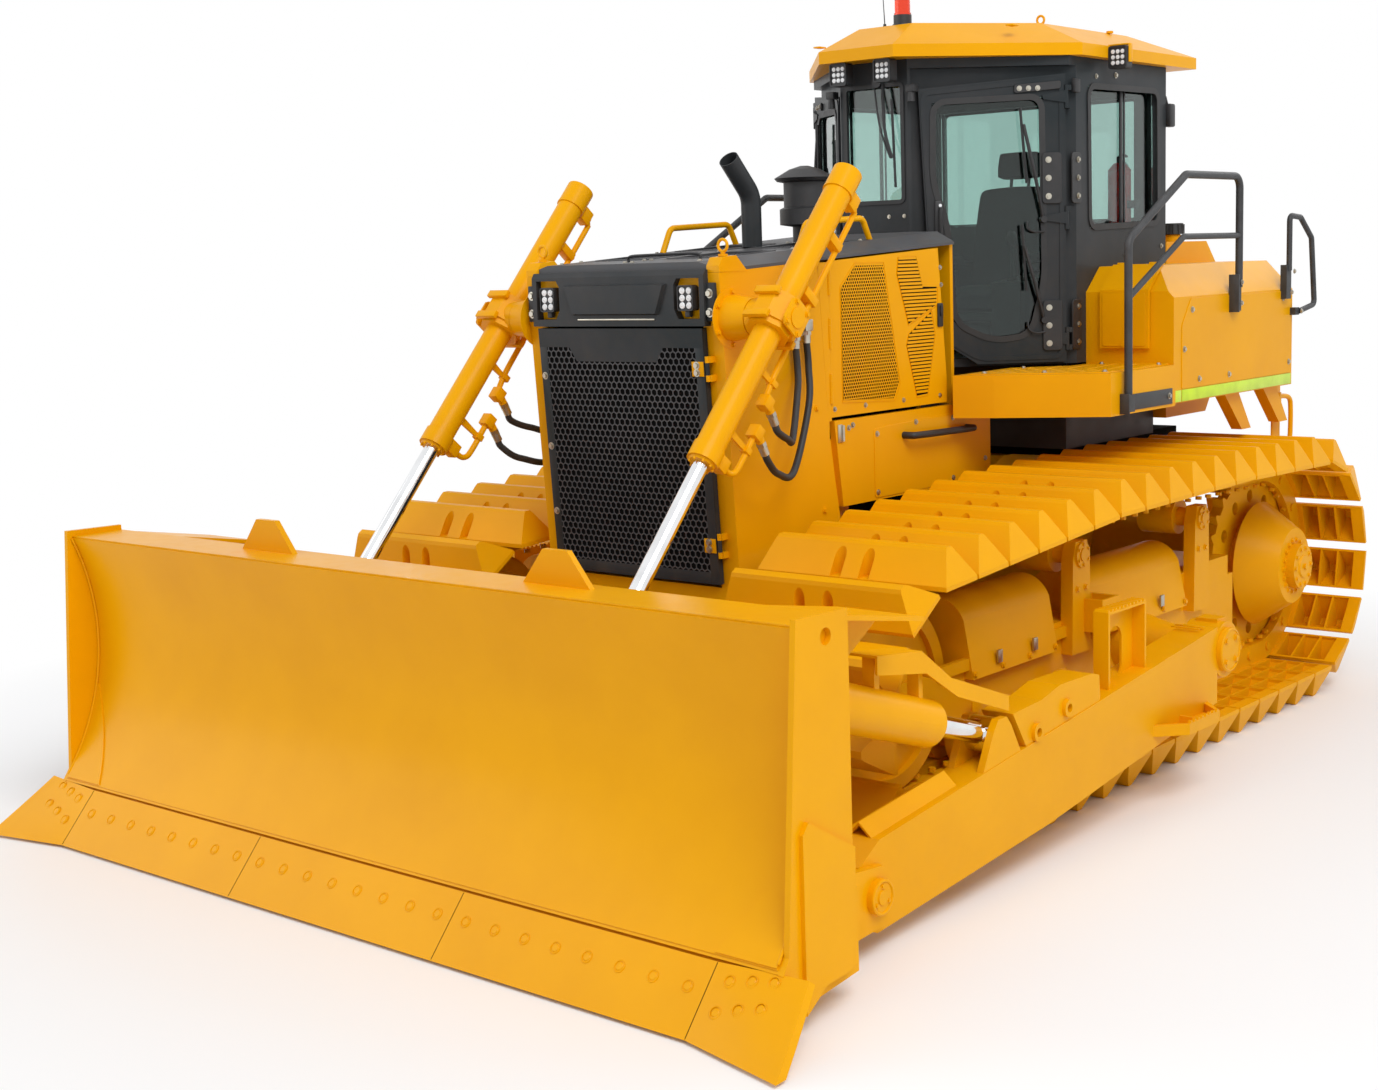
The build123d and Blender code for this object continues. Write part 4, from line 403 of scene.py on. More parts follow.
def bolt(bm, place, direction, radius, height=None, washer=True):
    """A hexagon head on a washer, standing on a surface."""
    place, direction = Vector(place), Vector(direction).normalized()
    height = height or radius * 0.9
    if washer:
        bar(bm, place, place + direction * radius * 0.22, radius * 1.45, 14)
    bar(bm, place, place + direction * height, radius, 6, radius * 0.93)


def array(bm, step, count):
    """Repeats the whole mesh a number of times, a step apart."""
    base = bm.verts[:] + bm.edges[:] + bm.faces[:]
    for k in range(1, count):
        copy = bmesh.ops.duplicate(bm, geom=base)
        bmesh.ops.translate(bm, vec=Vector(step) * k, verts=new_verts(copy))


def mirror(bm):
    """Adds the mirror image about the machine's centre plane."""
    bmesh.ops.mirror(bm, geom=bm.verts[:] + bm.edges[:] + bm.faces[:], axis="X", merge_dist=-1)


def finish_piece(bm, name, body, finish, slot=None, crease=32, merge=True):
    """Turns the mesh into a piece that rides on a body; the slot argument is not used."""
    if merge:
        bmesh.ops.remove_doubles(bm, verts=bm.verts[:], dist=1e-6)
    bmesh.ops.recalc_face_normals(bm, faces=bm.faces[:])
    data = bpy.data.meshes.new(name)
    bm.to_mesh(data)
    bm.free()
    data.polygons.foreach_set("use_smooth", [True] * len(data.polygons))
    data.set_sharp_from_angle(angle=math.radians(crease))
    data.materials.append(FINISH[finish])
    obj = bpy.data.objects.new(name, data)
    bpy.context.scene.collection.objects.link(obj)
    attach(obj, body)
    return obj


def tube(bm, points, radius, sides=10, rounds=4):
    """A round tube along a smooth line through a few points, its rings turned to follow the line."""
    points = [Vector(p) for p in points]
    line = []
    for k in range(len(points) - 1):
        before, here = points[max(k - 1, 0)], points[k]
        there, after = points[k + 1], points[min(k + 2, len(points) - 1)]
        for i in range(rounds):
            t = i / rounds
            squared = 2 * before - 5 * here + 4 * there - after
            cubed = 3 * here - before - 3 * there + after
            line.append(0.5 * ((2 * here) + (there - before) * t + squared * t * t + cubed * t ** 3))
    line.append(points[-1])
    rings = []
    frame_turn = None
    for k, place in enumerate(line):
        heading = (line[min(k + 1, len(line) - 1)] - line[max(k - 1, 0)]).normalized()
        turn = pointing(heading) if frame_turn is None else (
            frame_turn[0].rotation_difference(heading).to_matrix().to_4x4() @ frame_turn[1])
        frame_turn = (heading, turn)
        made = bmesh.ops.create_circle(bm, cap_ends=k in (0, len(line) - 1), segments=sides, radius=radius,
                                       matrix=Matrix.Translation(place) @ turn)
        ring = new_verts(made)
        rings.append({e for v in ring for e in v.link_edges if e.other_vert(v) in ring})
    for first, second in zip(rings, rings[1:]):
        bmesh.ops.bridge_loops(bm, edges=list(first | second))


def perforated_sheet(pitch, width, height, thickness, web):
    """A sheet of hexagonal holes in the XY plane, from the origin, facing +Z."""
    bm = bmesh.new()
    radius = pitch / math.sqrt(3)
    bmesh.ops.create_circle(bm, cap_ends=True, segments=6, radius=radius)
    bmesh.ops.inset_individual(bm, faces=bm.faces[:], thickness=pitch * web / 2)
    bm.faces.ensure_lookup_table()
    inner = min(bm.faces, key=lambda f: f.calc_center_median().length)
    bmesh.ops.delete(bm, geom=[inner], context="FACES_ONLY")
    copy = bmesh.ops.duplicate(bm, geom=bm.verts[:] + bm.edges[:] + bm.faces[:])
    bmesh.ops.translate(bm, vec=(pitch / 2, 1.5 * radius, 0), verts=new_verts(copy))
    array(bm, (pitch, 0, 0), int(width / pitch) + 2)
    array(bm, (0, 3 * radius, 0), int(height / (3 * radius)) + 2)
    bmesh.ops.remove_doubles(bm, verts=bm.verts[:], dist=pitch * 0.02)
    for place, out in (((0, 0, 0), -X), ((width, 0, 0), X), ((0, 0, 0), -Y), ((0, height, 0), Y)):
        trim(bm, place, out)
    made = bmesh.ops.extrude_face_region(bm, geom=bm.faces[:])
    bmesh.ops.translate(bm, vec=(0, 0, thickness), verts=new_verts(made))
    return bm


def trim(bm, place, out):
    """Cuts away what lies beyond a plane, on the side that out points to."""
    bmesh.ops.bisect_plane(bm, geom=bm.verts[:] + bm.edges[:] + bm.faces[:], dist=1e-6,
                           plane_co=Vector(place),
                           plane_no=Vector(out), clear_outer=True)


# ---------------------------------------------------------------- stage
CAMERA_PLACE = (5.4576, -7.1196, 2.3899)
CAMERA_YAW, CAMERA_PITCH, CAMERA_ROLL = 39.249, -8.616, -1.717
LENS, SENSOR = 49.13, 36.0
SHIFT_X = -0.0474
PAPER_FADE = (3.6, 5.6)


class DOZER_OT_stage(bpy.types.Operator):
    """Makes the camera, the pale floor and the soft studio light"""
    bl_idname = "dozer.stage"
    bl_label = "Stage"

    def execute(self, context):
        stage = settings("dozer_stage")
        scene = context.scene
        scene.view_settings.view_transform = "Standard"
        yaw, pitch, roll = (math.radians(a) for a in (CAMERA_YAW, CAMERA_PITCH, CAMERA_ROLL))
        ahead = Vector((-math.sin(yaw) * math.cos(pitch), math.cos(yaw) * math.cos(pitch), math.sin(pitch)))
        side = ahead.cross(Z).normalized()
        up = side.cross(ahead)
        across = side * math.cos(roll) + up * math.sin(roll)
        upright = -side * math.sin(roll) + up * math.cos(roll)
        data = bpy.data.cameras.new("camera")
        data.lens, data.sensor_width, data.shift_x = LENS, SENSOR, SHIFT_X
        data.clip_end = 200
        camera = bpy.data.objects.new("camera", data)
        turn = Matrix((across, upright, -ahead)).transposed().to_4x4()
        camera.matrix_world = Matrix.Translation(CAMERA_PLACE) @ turn
        scene.collection.objects.link(camera)
        scene.camera = camera

        bm = bmesh.new()
        bmesh.ops.create_grid(bm, x_segments=1, y_segments=1, size=60,
                              matrix=Matrix.Translation((0, 0, -0.002)))
        data = bpy.data.meshes.new("floor")
        bm.to_mesh(data)
        bm.free()
        floor = bpy.data.objects.new("floor", data)
        scene.collection.objects.link(floor)
        data.materials.append(self.floor_material(stage))

        world = bpy.data.worlds.new("studio")
        scene.world = world
        world.use_nodes = True
        tree = world.node_tree
        back = tree.nodes["Background"]
        plain = tree.nodes.new("ShaderNodeBackground")
        plain.inputs["Color"].default_value = (1, 1, 1, 1)
        back.inputs["Color"].default_value = (0.95, 0.97, 1, 1)
        back.inputs["Strength"].default_value = stage.sky
        switch = tree.nodes.new("ShaderNodeMixShader")
        rays = tree.nodes.new("ShaderNodeLightPath")
        wire(tree, seen_rays(tree, rays), switch.inputs["Fac"])
        wire(tree, back.outputs[0], switch.inputs[1])
        wire(tree, plain.outputs[0], switch.inputs[2])
        wire(tree, switch.outputs[0], tree.nodes["World Output"].inputs[0])
        for name, place, power, size in (
                ("key_light", (9.0, -5.0, 11.5), stage.key, 7),
                ("fill_light", (-8.0, -7.0, 5.0), stage.fill, 7),
                ("back_light", (2.0, 10.0, 8.0), stage.fill, 7)):
            light = bpy.data.lights.new(name, "AREA")
            light.energy, light.size = power, size
            lamp = bpy.data.objects.new(name, light)
            lamp.matrix_world = Matrix.Translation(place) @ pointing(Vector(place) - Vector((0, 0, 1)))
            scene.collection.objects.link(lamp)
        return {"FINISHED"}

    def floor_material(self, stage):
        made = bpy.data.materials.new("floor_paper")
        made.use_nodes = True
        tree = made.node_tree
        shader = tree.nodes["Principled BSDF"]
        shader.inputs["Base Color"].default_value = (*stage.floor, 1)
        shader.inputs["Roughness"].default_value = 0.9
        shader.inputs["Specular IOR Level"].default_value = 0.1
        place = tree.nodes.new("ShaderNodeTexCoord").outputs["Object"]
        away = tree.nodes.new("ShaderNodeVectorMath")
        away.operation = "LENGTH"
        wire(tree, place, away.inputs[0])
        rays = tree.nodes.new("ShaderNodeLightPath")
        far = stretch(tree, away.outputs["Value"], *PAPER_FADE)
        glow = tree.nodes.new("ShaderNodeEmission")
        switch = tree.nodes.new("ShaderNodeMixShader")
        wire(tree, calculate(tree, "MULTIPLY", far, seen_rays(tree, rays)), switch.inputs["Fac"])
        wire(tree, shader.outputs[0], switch.inputs[1])
        wire(tree, glow.outputs[0], switch.inputs[2])
        wire(tree, switch.outputs[0], tree.nodes["Material Output"].inputs["Surface"])
        return made


def seen_rays(tree, rays):
    """1 for rays that show the background straight, in a mirror or through glass."""
    both = calculate(tree, "MAXIMUM", rays.outputs["Is Camera Ray"], rays.outputs["Is Glossy Ray"])
    return calculate(tree, "MAXIMUM", both, rays.outputs["Is Transmission Ray"])


class DOZER_OT_finishes(bpy.types.Operator):
    """Makes the finishes and paints the CAD nodes"""
    bl_idname = "dozer.finishes"
    bl_label = "Finishes"

    def execute(self, context):
        FINISH.update(build_finishes())
        paint_nodes()
        return {"FINISHED"}


# ---------------------------------------------------------------- shared places
NOSE_S, NOSE_C = math.sin(math.radians(3.2)), math.cos(math.radians(3.2))
GRILLE_FOOT = Vector((0, -1.2199, 1.060))
GRILLE_FRONT = 0.025
GUARD_HALF = 0.55
LIFT_PIVOT = Vector((0.770, -1.210, 2.160))
LIFT_DOWN = Vector((0, -1.194, -1.340)).normalized()
LIFT_BACK = Vector((0, -LIFT_DOWN.z, LIFT_DOWN.y))
EDGE_FOOT, EDGE_TOP = Vector((0, -3.010, 0.011)), Vector((0, -2.837, 0.211))
EDGE_OUT = Vector((0, -(EDGE_TOP - EDGE_FOOT).z, (EDGE_TOP - EDGE_FOOT).y)).normalized()
DOOR_WINDOW = [(0.118, 3.112), (0.662, 3.130), (0.672, 2.260), (0.602, 1.990), (0.400, 1.965), (0.210, 2.060),
               (0.178, 2.540), (0.112, 2.720)]


def on_grille(u, v, out=0.0):
    """A place on the leaning grille door: across, up and out from its front face."""
    out += GRILLE_FRONT
    return GRILLE_FOOT + Vector((u, -NOSE_S * v - NOSE_C * out, NOSE_C * v - NOSE_S * out))


def on_lift(along, back=0.0, x=0.0):
    """A place by the left lift cylinder: along it from its pivot, behind it and to its side."""
    return LIFT_PIVOT + LIFT_DOWN * along + LIFT_BACK * back + X * x


def on_facet(s, z, out=0.0):
    """A place on the left door facet of the cab: along it, at a height, out from its face."""
    return Vector((0.2 + 0.7258 * s + 0.6879 * out, 0.585 + 0.6879 * s - 0.7258 * out, z))


def rectangle(left, foot, right, top):
    return ((left, foot), (right, foot), (right, top), (left, top))


def at_x(x, places):
    """Corners (y, z) on the plane square to X."""
    return [Vector((x, y, z)) for y, z in places]


def at_y(y, places):
    """Corners (x, z) on the plane square to Y."""
    return [Vector((x, y, z)) for x, z in places]


def at_z(z, places):
    """Corners (x, y) on the level plane."""
    return [Vector((x, y, z)) for x, y in places]


def on_side(y, z, out=0.0, x=GUARD_HALF):
    """A place on a flat left side of the machine."""
    return Vector((x + out, y, z))


def hood_top_z(y):
    """Height of the hood's flat top at a place along it."""
    share = (y + 1.2757) / 1.8157
    return 2.3453 + (y + 1.2757) * 0.05232 + 0.062 * (0.72 + 0.28 * share)


FACET_OUT = Vector((0.6879, -0.7258, 0))
NOSE_OUT = Vector((0, -NOSE_C, -NOSE_S))


def flip(bm):
    """Turns the mesh into its mirror image about the machine's centre plane."""
    bmesh.ops.scale(bm, vec=(-1, 1, 1), verts=bm.verts[:])
    bmesh.ops.reverse_faces(bm, faces=bm.faces[:])


def pair(build, name, bodies, finish, slot=None, **given):
    """Makes a left piece and its mirror image, each on its own body."""
    made = []
    for side, body in zip(("left", "right"), bodies):
        bm = bmesh.new()
        build(bm)
        if side == "right":
            flip(bm)
        made.append(finish_piece(bm, f"{name}_{side}", body, finish, slot, **given))
    return made


def both(build, name, body, finish, slot=None, **given):
    """Makes one piece of a left half and its mirror image."""
    bm = bmesh.new()
    build(bm)
    mirror(bm)
    return finish_piece(bm, name, body, finish, slot, **given)


def single(build, name, body, finish, slot=None, **given):
    """Makes one piece."""
    bm = bmesh.new()
    build(bm)
    return finish_piece(bm, name, body, finish, slot, **given)


def band(bm, corners, width, push, round_off=0.0, segments=4):
    """A flat ring inside an outline, its corners rounded, thickened along a vector."""
    face = rounded_face(bm, corners, round_off, segments)
    bmesh.ops.inset_individual(bm, faces=[face], thickness=width, use_even_offset=True)
    rim = [f for f in face_island(face) if f is not face]
    bmesh.ops.delete(bm, geom=[face], context="FACES_ONLY")
    made = bmesh.ops.extrude_face_region(bm, geom=rim)
    bmesh.ops.translate(bm, vec=Vector(push), verts=new_verts(made))


def rounded_face(bm, corners, round_off, segments=4):
    """One flat face with rounded corners."""
    verts = [bm.verts.new(c) for c in corners]
    face = bm.faces.new(verts)
    if not round_off:
        return face
    made = bmesh.ops.bevel(bm, geom=verts, offset=round_off, offset_type="OFFSET", segments=segments,
                           profile=0.5,
                           affect="VERTICES", material=-1)
    return next(f for v in new_verts(made) for f in v.link_faces)


def face_island(face):
    """The faces that share a corner with a face, and the face itself."""
    return {f for v in face.verts for f in v.link_faces}


def panel(bm, corners, push, round_off=0.0, bevel=0.0):
    """A flat cover with rounded corners, thickened along a vector."""
    face = rounded_face(bm, corners, round_off)
    made = bmesh.ops.extrude_face_region(bm, geom=[face])
    moved = new_verts(made)
    bmesh.ops.translate(bm, vec=Vector(push), verts=moved)
    if bevel:
        edges = {e for v in moved for e in v.link_edges if e.other_vert(v) in moved}
        break_edges(bm, list(edges), bevel, 1)


def eye_ring(bm, centre, axis, radius, wire_radius, sides=10, steps=24):
    """A closed ring of round wire."""
    turn = Matrix.Translation(Vector(centre)) @ pointing(axis)
    upright = Matrix.Translation((radius, 0, 0)) @ Matrix.Rotation(math.pi / 2, 4, "X")
    made = bmesh.ops.create_circle(bm, segments=sides, radius=wire_radius, matrix=turn @ upright)
    verts = new_verts(made)
    edges = list({e for v in verts for e in v.link_edges})
    bmesh.ops.spin(bm, geom=verts + edges, cent=Vector(centre), axis=turn.to_3x3() @ Z, angle=2 * math.pi,
                   steps=steps,
                   use_merge=True)


def set_in(bm, matrix):
    """Moves the whole mesh by a matrix."""
    bmesh.ops.transform(bm, matrix=matrix, verts=bm.verts[:])


def columns(x_axis, y_axis, z_axis, origin):
    """A placing matrix from its three axes and its origin."""
    return Matrix.Translation(Vector(origin)) @ Matrix((x_axis, y_axis, z_axis)).transposed().to_4x4()


# ---------------------------------------------------------------- nose
class DOZER_OT_grille(bpy.types.Operator):
    """Makes the honeycomb sheet of the nose, its near-black backing as painted shade in the holes, its border
    and its screws
    """
    bl_idname = "dozer.grille"
    bl_label = "Nose grille"

    def execute(self, context):
        sizes = settings("dozer_mesh")
        turn = columns(X, Vector((0, -NOSE_S, NOSE_C)), NOSE_OUT, on_grille(-0.432, 0.045, 0.0022))
        bm = perforated_sheet(sizes.grille_pitch, 0.864, 0.965, 0.0025, sizes.web)
        set_in(bm, turn)
        finish_piece(bm, "grille_mesh", "front_grille", "mesh", merge=False)
        single(self.backing, "grille_painted_shade", "front_grille", "dark", "cab_charcoal")
        single(self.border, "grille_border", "front_grille", "charcoal")
        single(self.screws, "grille_screws", "front_grille", "zinc")
        single(self.leaves, "grille_hinge_leaves", "front_grille", "body")
        return {"FINISHED"}

    # Near-black plate behind the mesh: painted shade seen through the holes.
    def backing(self, bm):
        plate(bm, [on_grille(u, v, 0.0003) for u, v in rectangle(-0.44, 0.035, 0.44, 1.02)],
              NOSE_OUT * 0.0012)

    def border(self, bm):
        low, high, dip = 0.0, 1.065, 0.925
        outline = [(-0.469, high), (-0.469, 0.985), (-0.29, 0.985), (-0.25, dip), (0.21, dip), (0.25, 0.985),
                   (0.469, 0.985), (0.469, high)]
        plate(bm, [on_grille(u, v, 0.0048) for u, v in outline], -NOSE_OUT * 0.0045, 0.001)
        for u0, u1, v0, v1 in ((-0.469, -0.425, low, 0.985), (0.425, 0.469, low, 0.985),
                               (-0.425, 0.425, low, 0.05)):
            corners = ((u0, v0), (u1, v0), (u1, v1), (u0, v1))
            plate(bm, [on_grille(u, v, 0.0003) for u, v in corners], NOSE_OUT * 0.0045, 0.001)

    def screws(self, bm):
        head = settings("dozer_bolts").frame_head * 0.8
        for v in (0.26, 0.55, 0.86):
            bolt(bm, on_grille(-0.448, v, 0.0048), NOSE_OUT, head)
        for v in (0.150, 0.180, 0.885, 0.915):
            bolt(bm, on_grille(0.432, v, 0.0095), NOSE_OUT, head)

    def leaves(self, bm):
        for v in (0.135, 0.870):
            corners = ((0.405, v), (0.466, v), (0.466, v + 0.06), (0.405, v + 0.06))
            plate(bm, [on_grille(a, b, 0.0049) for a, b in corners], NOSE_OUT * 0.0045, 0.0015)


class DOZER_OT_nose(bpy.types.Operator):
    """Makes the nose trim, its tabs and bolts, the lamp faces, the shoulders and the lifting eyes"""
    bl_idname = "dozer.nose"
    bl_label = "Nose trim and lamps"

    def execute(self, context):
        single(self.strip, "nose_strip", "tractor", "zinc")
        both(self.tabs, "nose_tabs", "tractor", "charcoal")
        both(self.tab_bolts, "nose_bolts", "tractor", "zinc")
        both(self.shoulders, "guard_shoulders", "tractor", "body")
        both(self.eyes, "lifting_eyes", "tractor", "body")
        both(self.reflectors, "headlamp_reflectors", "tractor", "reflector")
        both(self.lamp_rims, "headlamp_rims", "tractor", "plastic")
        both(self.side_seams, "guard_side_plates", "tractor", "body")
        both(self.guard_tops, "guard_tops", "tractor", "body")
        return {"FINISHED"}

    def strip(self, bm):
        slab(bm, (-0.22, -1.3168, 2.1565), (0.22, -1.3125, 2.1625), 0.001)

    def tabs(self, bm):
        slab(bm, (0.478, -1.2995, 2.150), (0.532, -1.2765, 2.305), 0.004)

    def tab_bolts(self, bm):
        for z in (2.185, 2.262):
            bolt(bm, (0.508, -1.2995, z), -Y, 0.0135)

    def shoulders(self, bm):
        outline = [(-1.2845, 2.346), (-1.2845, 2.372), (-1.262, 2.405), (-1.175, 2.411), (-1.105, 2.346)]
        plate(bm, at_x(0.5515, outline), -X * 0.070, 0.004)

    def eyes(self, bm):
        place = Vector((0.515, -1.215, 2.408))
        bar(bm, place, place + Z * 0.010, 0.020, 16)
        bar(bm, place + Z * 0.006, place + Z * 0.022, 0.010, 12)
        eye_ring(bm, place + Z * 0.044, Y, 0.024, 0.0065)

    def lamp_centre(self):
        return Vector((0.395, -1.3172, 2.245))

    def reflectors(self, bm):
        for column in (-0.5, 0.5):
            for row in (-1, 0, 1):
                place = self.lamp_centre() + Vector((column * 0.036, -0.0005, row * 0.030))
                bar(bm, place, place - Y * 0.0035, 0.0145, 12, 0.012)
                bar(bm, place - Y * 0.0035, place - Y * 0.0050, 0.006, 8, 0.003)

    def lamp_rims(self, bm):
        centre = self.lamp_centre()
        corners = [centre + corner for corner in at_y(0, rectangle(-0.042, -0.052, 0.042, 0.052))]
        band(bm, corners, 0.005, -Y * 0.005, 0.012)
        slab(bm, (0.382, -1.310, 2.168), (0.408, -1.286, 2.195), 0.004)

    def guard_tops(self, bm):
        """The strip that closes the wedge between the guard and the rising hood."""
        plate(bm, at_x(0.5496, ((-1.26, 2.3448), (-0.632, 2.3448), (-0.632, 2.3780), (-1.26, 2.3453))),
              -X * 0.020)

    def side_seams(self, bm):
        bar(bm, (0.549, -1.210, 2.160), (0.553, -1.210, 2.160), 0.125, 40)
        for angle in range(0, 360, 60):
            turn = Matrix.Rotation(math.radians(angle), 3, "X") @ Vector((0, 0, 0.108))
            bolt(bm, Vector((0.553, -1.210, 2.160)) + turn, X, 0.010)
        for y, z in ((-1.16, 1.02), (-1.02, 1.02), (-0.62, 1.30), (-0.66, 1.75)):
            bolt(bm, (GUARD_HALF, y, z), X, 0.011)


# ---------------------------------------------------------------- hood and engine doors
class DOZER_OT_engine_doors(bpy.types.Operator):
    """Makes the perforated fields, their near-black backing as painted shade in the openings, latches and
    screws of the engine doors
    """
    bl_idname = "dozer.engine_doors"
    bl_label = "Engine doors"

    HOLES = ((-0.464, 1.770), (-0.078, 1.750), (-0.036, 1.821), (-0.145, 2.350), (-0.358, 2.352),
             (-0.466, 2.255))
    SLOTS = (
        ((-0.024, 2.378), (0.117, 2.380), (0.166, 2.245), (0.285, 2.241), (0.280, 2.160), (0.050, 2.080),
         (-0.035, 2.305)),
        ((0.234, 2.127), (0.262, 2.024), (0.197, 1.751), (0.109, 1.747), (0.032, 1.983), (0.051, 2.032)),
    )
    PANELS = ("engine_panel_left", "engine_panel_right")

    def execute(self, context):
        for side, body in zip(("left", "right"), self.PANELS):
            bm = self.field()
            if side == "right":
                flip(bm)
            finish_piece(bm, f"door_holes_{side}", body, "body", merge=False)
        pair(self.backing, "door_painted_shade", self.PANELS, "dark")
        pair(self.slats, "door_slats", self.PANELS, "body")
        pair(self.rims, "door_field_rims", self.PANELS, "body")
        pair(self.latches, "door_latch", self.PANELS, "plastic")
        pair(self.screws, "door_screws", self.PANELS, "zinc")
        return {"FINISHED"}

    def field(self):
        """The sheet of holes, cut to its outline, on the left door."""
        outline = self.HOLES
        low = Vector((min(y for y, z in outline), min(z for y, z in outline), 0))
        high = Vector((max(y for y, z in outline), max(z for y, z in outline), 0))
        bm = perforated_sheet(settings("dozer_mesh").door_pitch, high.x - low.x, high.y - low.y, 0.0014, 0.36)
        bmesh.ops.translate(bm, vec=low, verts=bm.verts[:])
        for (y, z), ahead in zip(outline, outline[1:] + outline[:1]):
            trim(bm, (y, z, 0), (ahead[1] - z, y - ahead[0], 0))
        set_in(bm, columns(Y, Z, X, (GUARD_HALF + 0.0012, 0, 0)))
        return bm

    # Near-black plates under the hole field and the slots: painted shade seen through the openings.
    def backing(self, bm):
        for outline in (self.HOLES, *self.SLOTS):
            plate(bm, [on_side(y, z, 0.0003) for y, z in outline], X * 0.0006)

    def slats(self, bm):
        """Level strips between the slots, each as long as the outline is wide at its height."""
        step = settings("dozer_mesh").door_pitch
        for outline in self.SLOTS:
            edges = list(zip(outline, outline[1:] + outline[:1]))
            z = min(z for y, z in outline) + step
            while z < max(z for y, z in outline):
                cuts = sorted(a[0] + (b[0] - a[0]) * (z - a[1]) / (b[1] - a[1]) for a, b in edges
                              if (a[1] - z) * (b[1] - z) < 0)
                for y0, y1 in zip(cuts[::2], cuts[1::2]):
                    slab(bm, (GUARD_HALF + 0.0002, y0, z - step * 0.34),
                         (GUARD_HALF + 0.0026, y1, z + step * 0.34))
                z += step

    def rims(self, bm):
        for outline in (self.HOLES, *self.SLOTS):
            middle = Vector((0, sum(y for y, z in outline) / len(outline),
                             sum(z for y, z in outline) / len(outline)))
            corners = [middle + (Vector((0, y, z)) - middle) * 1.04 + X * (GUARD_HALF + 0.0002) for y,
                       z in outline]
            band(bm, corners, 0.007, X * 0.0028)

    def latches(self, bm):
        slab(bm, (0.5502, 0.285, 2.055), (0.5600, 0.325, 2.165), 0.004)
        slab(bm, (0.5600, 0.296, 2.105), (0.5680, 0.314, 2.155), 0.003)

    def screws(self, bm):
        head = settings("dozer_bolts").cover_head
        for y, z in ((0.315, 2.33), (0.322, 2.25), (-0.53, 1.735), (-0.30, 1.735), (0.0, 1.735),
                     (0.30, 1.735)):
            bolt(bm, on_side(y, z), X, head)


class DOZER_OT_hood(bpy.types.Operator):
    """Makes the hood's mesh panels, grab handle and screws"""
    bl_idname = "dozer.hood"
    bl_label = "Hood"

    def execute(self, context):
        for name, y in (("front", -0.860), ("rear", -0.330)):
            for side, x in (("left", 0.210), ("right", -0.210)):
                bm = perforated_sheet(0.022, 0.296, 0.326, 0.002, 0.3)
                slope = Vector((0, 1, 0.0619)).normalized()
                set_in(bm, columns(X, slope, X.cross(slope),
                                   (x - 0.148, y - 0.163, hood_top_z(y - 0.163) - 0.008)))
                finish_piece(bm, f"hood_mesh_{name}_{side}", "tractor", "plastic", merge=False)
        both(self.frames, "hood_mesh_frames", "tractor", "hood")
        single(self.handle, "hood_handle", "tractor", "plastic")
        both(self.screws, "hood_screws", "tractor", "zinc")
        single(self.seams, "hood_seams", "tractor", "dark", "cab_charcoal")
        return {"FINISHED"}

    def frames(self, bm):
        for y in (-0.860, -0.330):
            corners = [Vector((0.210 + a * 0.163, y + b * 0.178, hood_top_z(y + b * 0.178) + 0.0002))
                       for a, b in rectangle(-1, -1, 1, 1)]
            band(bm, corners, 0.016, Z * 0.0035, 0.01)

    def handle(self, bm):
        tube(bm, [(-0.05, -1.165, hood_top_z(-1.165)), (-0.04, -1.168, hood_top_z(-1.165) + 0.022),
                  (0.06, -1.172, hood_top_z(-1.165) + 0.026), (0.20, -1.150, hood_top_z(-1.15) + 0.026),
                  (0.29, -1.110, hood_top_z(-1.11) + 0.022), (0.30, -1.105, hood_top_z(-1.10))], 0.006, 8, 5)

    def screws(self, bm):
        head = settings("dozer_bolts").cover_head
        for y in (-1.22, -1.10, -0.60, -0.10):
            for x in (0.02, 0.395):
                bolt(bm, (x, y, hood_top_z(y)), Z, head)

    # Thin near-black strips across the hood top: painted shade in the gaps between its panels.
    def seams(self, bm):
        for y in (-1.075, -0.590, -0.075):
            z = hood_top_z(y)
            slab(bm, (-0.43, y - 0.002, z - 0.001), (0.43, y + 0.002, z + 0.0006))


class DOZER_OT_side_covers(bpy.types.Operator):
    """Makes the access panels, grips and screws of the lower side covers"""
    bl_idname = "dozer.side_covers"
    bl_label = "Lower side covers"

    def execute(self, context):
        both(self.panels, "access_panels", "tractor", "body")
        both(self.screws, "access_screws", "tractor", "zinc")
        both(self.grips, "cover_grips", "tractor", "plastic")
        both(self.hinges, "cover_hinges", "tractor", "zinc")
        return {"FINISHED"}

    def panels(self, bm):
        corners = [on_side(y, z, 0.0002) for y,
                   z in ((-0.24, 1.31), (0.42, 1.31), (0.42, 1.645), (-0.24, 1.625))]
        panel(bm, corners, X * 0.0035, 0.015, 0.0012)

    def screws(self, bm):
        head = settings("dozer_bolts").cover_head * 1.15
        for y, z in ((-0.22, 1.60), (0.09, 1.628), (0.40, 1.622), (-0.22, 1.335), (0.40, 1.335)):
            bolt(bm, on_side(y, z, 0.0037), X, head)
        for y, z in ((-0.43, 1.645), (-0.40, 1.655), (0.69, 1.655), (0.69, 1.40)):
            bolt(bm, on_side(y, z), X, head)

    def grips(self, bm):
        tube(bm, [(0.552, -0.010, 1.575), (0.590, -0.004, 1.574), (0.606, 0.03, 1.573), (0.607, 0.25, 1.569),
                  (0.606, 0.48, 1.566), (0.590, 0.514, 1.5645), (0.552, 0.520, 1.564)], 0.0165, 12, 5)

    def hinges(self, bm):
        slab(bm, (0.5495, -0.512, 1.585), (0.5545, -0.478, 1.665), 0.002)
        bar(bm, (0.556, -0.478, 1.590), (0.556, -0.478, 1.660), 0.007, 12)


